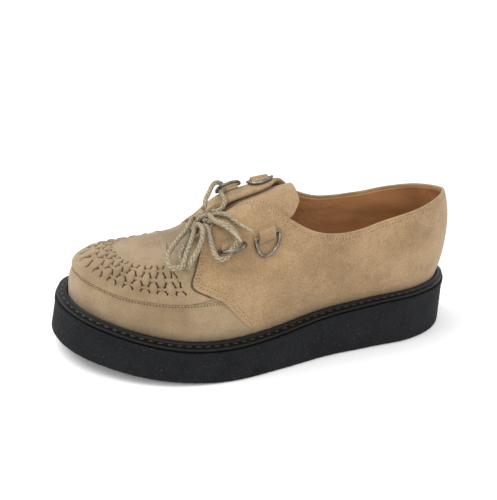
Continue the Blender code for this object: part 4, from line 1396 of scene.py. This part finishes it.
# Stitches: seams of pale waxed thread on the suede, slanted ones at the apron's border, and
# thick black ones through the welt. One node tree lays a small thread bar on every point.
THREAD_RINGS = 5
THREAD_SEGMENTS = 7
SEAM_PITCH = 0.0024
SEAM_OFFSETS = (0.0022, 0.0042)
SEAM_BANDS = (0.035, 0.985)
SEAM_STEPS = 90
TOPLINE_OFFSET = 0.0026
TOPLINE_SEAM = (0.004, THROAT - 0.012)
TOPLINE_STEPS = 160
KEEPER_SEAM = 0.0013
KEEPER_PITCH = 0.7 * SEAM_PITCH
KEEPER_STITCHES = 6
APRON_SEAM = (0.588, 1.0)
APRON_STEPS = 200
APRON_PITCH = 0.00205
APRON_SEAM_DROP = 0.0006
APRON_HOLE_REACH = 0.0012
WELT_PITCH = 0.0063
WELT_INSET = 0.0040
WELT_REACH = 0.002
# Length, width and height of a thread bar or of the dark mark of painted shade in a needle hole
SEAM_BAR = (0.0017, 0.00055, 0.0004)
SEAM_HOLE = (0.0007, 0.0006, 0.00012)
APRON_BAR = (0.0022, 0.0007, 0.0010)
APRON_HOLE = (0.0011, 0.0007, 0.0005)
WELT_BAR = (0.0044, 0.0013, 0.0011)

seam_thread, thread_shader, thread_place = start_material("waxed_linen_thread", 0.6, specular=0.3)
_, thread_ramp = clouded(seam_thread, thread_place, "#8c7654", "#b59f7c", 0.35, 0.65, 700.0, 2.0)
lay_on(seam_thread, thread_shader, thread_ramp)

# Painted shade: dark marks laid at the needle holes stand for the shade inside them.
needle_shade, needle_shader, needle_place = start_material("suede_in_needle_holes", 0.95, specular=0.05)
_, needle_ramp = clouded(needle_shade, needle_place, "#2c1f12", "#5a452d")
lay_on(needle_shade, needle_shader, needle_ramp)

black_thread, black_shader, black_place = start_material("waxed_black_thread", 0.28, specular=0.6)
_, black_ramp = clouded(black_thread, black_place, "#08080a", "#1c1d20", scale=600.0)
lay_on(black_thread, black_shader, black_ramp)

stitch_tree = bpy.data.node_groups.new("stitches", "GeometryNodeTree")
for socket_name, socket_kind, direction in (
    ("Geometry", "NodeSocketGeometry", "INPUT"),
    ("Length", "NodeSocketFloat", "INPUT"),
    ("Width", "NodeSocketFloat", "INPUT"),
    ("Height", "NodeSocketFloat", "INPUT"),
    ("Thread", "NodeSocketMaterial", "INPUT"),
    ("Geometry", "NodeSocketGeometry", "OUTPUT"),
):
    stitch_tree.interface.new_socket(socket_name, in_out=direction, socket_type=socket_kind)


def add_tree_node(kind, links=(), **settings):
    """Add a node to the stitch tree; links pair an output with the name or number of an input."""
    node = stitch_tree.nodes.new(kind)
    for key, value in settings.items():
        setattr(node, key, value)
    for source, socket in links:
        stitch_tree.links.new(source, node.inputs[socket])
    return node


row_input = add_tree_node("NodeGroupInput")
sphere = add_tree_node("GeometryNodeMeshUVSphere")
sphere.inputs["Segments"].default_value = THREAD_SEGMENTS
sphere.inputs["Rings"].default_value = THREAD_RINGS
sphere.inputs["Radius"].default_value = 0.5
bar_size = add_tree_node("ShaderNodeCombineXYZ", [
    (row_input.outputs["Length"], 0),
    (row_input.outputs["Width"], 1),
    (row_input.outputs["Height"], 2),
])
bar = add_tree_node("GeometryNodeTransform", [(sphere.outputs["Mesh"], "Geometry"),
                                              (bar_size.outputs[0], "Scale")])
run_vector = add_tree_node("GeometryNodeInputNamedAttribute", data_type="FLOAT_VECTOR")
run_vector.inputs["Name"].default_value = "run"
out_vector = add_tree_node("GeometryNodeInputNamedAttribute", data_type="FLOAT_VECTOR")
out_vector.inputs["Name"].default_value = "out"
axes = add_tree_node("FunctionNodeAxesToRotation", [(out_vector.outputs["Attribute"], 0),
                                                    (run_vector.outputs["Attribute"], 1)])
laid = add_tree_node("GeometryNodeInstanceOnPoints", [
    (row_input.outputs["Geometry"], "Points"),
    (bar.outputs[0], "Instance"),
    (axes.outputs[0], "Rotation"),
])
real = add_tree_node("GeometryNodeRealizeInstances", [(laid.outputs[0], 0)])
painted = add_tree_node("GeometryNodeSetMaterial", [(real.outputs[0], "Geometry"),
                                                    (row_input.outputs["Thread"], "Material")])
add_tree_node("NodeGroupOutput", [(painted.outputs[0], 0)])


def lay_stitches(name, places, runs, outs, size, thread, slot):
    """Thread bars of one size at places, along runs, with outs as their upward direction."""
    data = bpy.data.meshes.new(name)
    data.from_pydata([tuple(place) for place in places], [], [])
    for key, vectors in (("run", runs), ("out", outs)):
        attribute = data.attributes.new(key, "FLOAT_VECTOR", "POINT")
        attribute.data.foreach_set("vector", np.asarray(vectors, np.float32).reshape(-1))
    piece = bpy.data.objects.new(name, data)
    bpy.context.scene.collection.objects.link(piece)
    lay = piece.modifiers.new("stitches", "NODES")
    lay.node_group = stitch_tree
    values = dict(zip(("Length", "Width", "Height", "Thread"), (*size, thread)))
    for socket in stitch_tree.interface.items_tree:
        if socket.name in values:
            lay[socket.identifier] = values[socket.name]
    bake_modifiers(piece)
    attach(piece, "root")


def seam(side, shares, rises, offset, height, pitch, slant=0.0):
    """Evenly spaced places, runs and outward directions beside a line of shares and rises."""
    flat = np.column_stack([np.asarray(shares) * SIDE_RUN, np.asarray(rises) * RISE_RUN])
    tangent = unit(np.gradient(flat, axis=0))
    flat = flat + np.column_stack([-tangent[:, 1], tangent[:, 0]]) * offset
    share = np.clip(flat[:, 0] / SIDE_RUN, 0, 1)
    rise = np.clip(flat[:, 1] / RISE_RUN, 0, 1)
    line = skin(side, share, rise, height(share, rise) + crease_height(side, share, rise))
    outs = last_normal(side, share, rise)
    run = run_along(line)
    at = np.arange(pitch / 2, run[-1], pitch)
    places = read_line(at, run, line)
    out = unit(read_line(at, run, outs))
    runs = unit(read_line(at + pitch / 2, run, line) - read_line(at - pitch / 2, run, line))
    if slant:
        runs = runs * math.cos(slant) + np.cross(out, runs) * math.sin(slant)
    return places, runs, out


def joined(rows):
    """Places, runs and outward directions of several rows as one row."""
    return [np.vstack([row[index] for row in rows]) for index in range(3)]


threads = []
holes = []
for side in (1, -1):
    front_bands = np.linspace(*SEAM_BANDS, SEAM_STEPS)
    front_rises = front_bands * topline(side, THROAT)
    front_shares = quarter_front(front_bands * THROAT_RISE)
    top_shares = np.linspace(*TOPLINE_SEAM, TOPLINE_STEPS)
    rows = [seam(side, front_shares, front_rises, offset, quarter_height, SEAM_PITCH)
            for offset in SEAM_OFFSETS]
    rows.append(seam(side, top_shares, topline(side, top_shares), -TOPLINE_OFFSET,
                     quarter_height, SEAM_PITCH))
    for _, ring_side, share, rise, _ in RINGS:
        if ring_side == side:
            across = (np.arange(KEEPER_STITCHES) - (KEEPER_STITCHES - 1) / 2) * KEEPER_PITCH
            low = KEEPER_PROFILE[0][0] * RING_WIRE - KEEPER_SEAM
            places = on_quarter(side, share, rise, across, low, 0)
            runs = unit(np.gradient(places, axis=0))
            outs = on_quarter(side, share, rise, across, low, 1) - places
            rows.append((places, runs, outs))
    for places, runs, outs in rows:
        threads.append((places, runs, outs))
        holes.append((places + runs * SEAM_PITCH / 2, runs, outs))
lay_stitches("seam_stitches", *joined(threads), SEAM_BAR, seam_thread, "sand_suede")
lay_stitches("needle_holes", *joined(holes), SEAM_HOLE, needle_shade, "sand_suede")

threads = []
for side in (1, -1):
    border = np.linspace(*APRON_SEAM, APRON_STEPS)
    border_rise = smooth(APRON_EDGE, 1 if side > 0 else 2, border)
    threads.append(seam(side, border, border_rise, -APRON_SEAM_DROP,
                        lambda share, rise: np.full(share.shape, EDGE_SEAT), APRON_PITCH, side))
places, runs, outs = joined(threads)
lay_stitches("apron_border_stitches", places, runs, outs, APRON_BAR, seam_thread, "sand_suede")
# Painted shade: dark marks under the apron's border, between its slanted stitches.
holes = places - outs * EDGE_SEAT + runs * APRON_HOLE_REACH
lay_stitches("apron_border_holes", holes, runs, outs, APRON_HOLE, needle_shade, "sand_suede")

xy = station_points - station_outs * WELT_INSET
line = np.column_stack([xy, sole_top(xy[:, 1]) + WELT_THICKNESS])
line = np.vstack([line, line[:1]])
run = run_along(line)
at = np.arange(WELT_PITCH / 2, run[-1] - WELT_PITCH / 2, WELT_PITCH)
places = read_line(at, run, line)
runs = read_line(at + WELT_REACH, run, line) - places
outs = np.tile((0.0, 0.0, 1.0), (len(places), 1))
lay_stitches("welt_stitches", places, runs, outs, WELT_BAR, black_thread, "black_welt")


# Floor and light: a white floor under one broad soft window light from the front and above,
# with weaker fill from the camera's side and from the heel.
FLOOR_SIZE = 6.0
FLOOR_DROP = 0.0002
floor_paint, floor_shader, _ = start_material("matt_white_paint", 0.9, specular=0.1)
floor_shader.inputs["Base Color"].default_value = linear("#ffffff")
floor_data = bpy.data.meshes.new("floor")
half_floor = FLOOR_SIZE / 2
floor_data.from_pydata([
    (-half_floor, -half_floor, -FLOOR_DROP),
    (half_floor, -half_floor, -FLOOR_DROP),
    (half_floor, half_floor, -FLOOR_DROP),
    (-half_floor, half_floor, -FLOOR_DROP),
], [], [(0, 1, 2, 3)])
floor_data.materials.append(floor_paint)
floor = bpy.data.objects.new("floor", floor_data)
bpy.context.scene.collection.objects.link(floor)

LIGHTS = (
    ("window", (-0.25, -0.55, 0.95), (0.0, -0.02, 0.05), 0.9, 6.5),
    ("camera_fill", (0.95, -0.25, 0.60), (0.0, 0.0, 0.05), 0.9, 2.2),
    ("heel_fill", (0.45, 0.85, 0.55), (0.0, 0.05, 0.05), 0.7, 1.2),
)
for light_name, light_place, target, size, power in LIGHTS:
    lamp = bpy.data.lights.new(light_name, "AREA")
    lamp.shape = "DISK"
    lamp.size = size
    lamp.energy = power
    holder = bpy.data.objects.new(light_name, lamp)
    holder.location = light_place
    aim = Vector(target) - Vector(light_place)
    holder.rotation_euler = aim.to_track_quat("-Z", "Y").to_euler()
    bpy.context.scene.collection.objects.link(holder)
world = bpy.data.worlds.new("studio")
world.use_nodes = True
world.node_tree.nodes["Background"].inputs[0].default_value = linear("#ffffff")
world.node_tree.nodes["Background"].inputs[1].default_value = 1.02
bpy.context.scene.world = world
bpy.context.scene.view_settings.view_transform = "Standard"
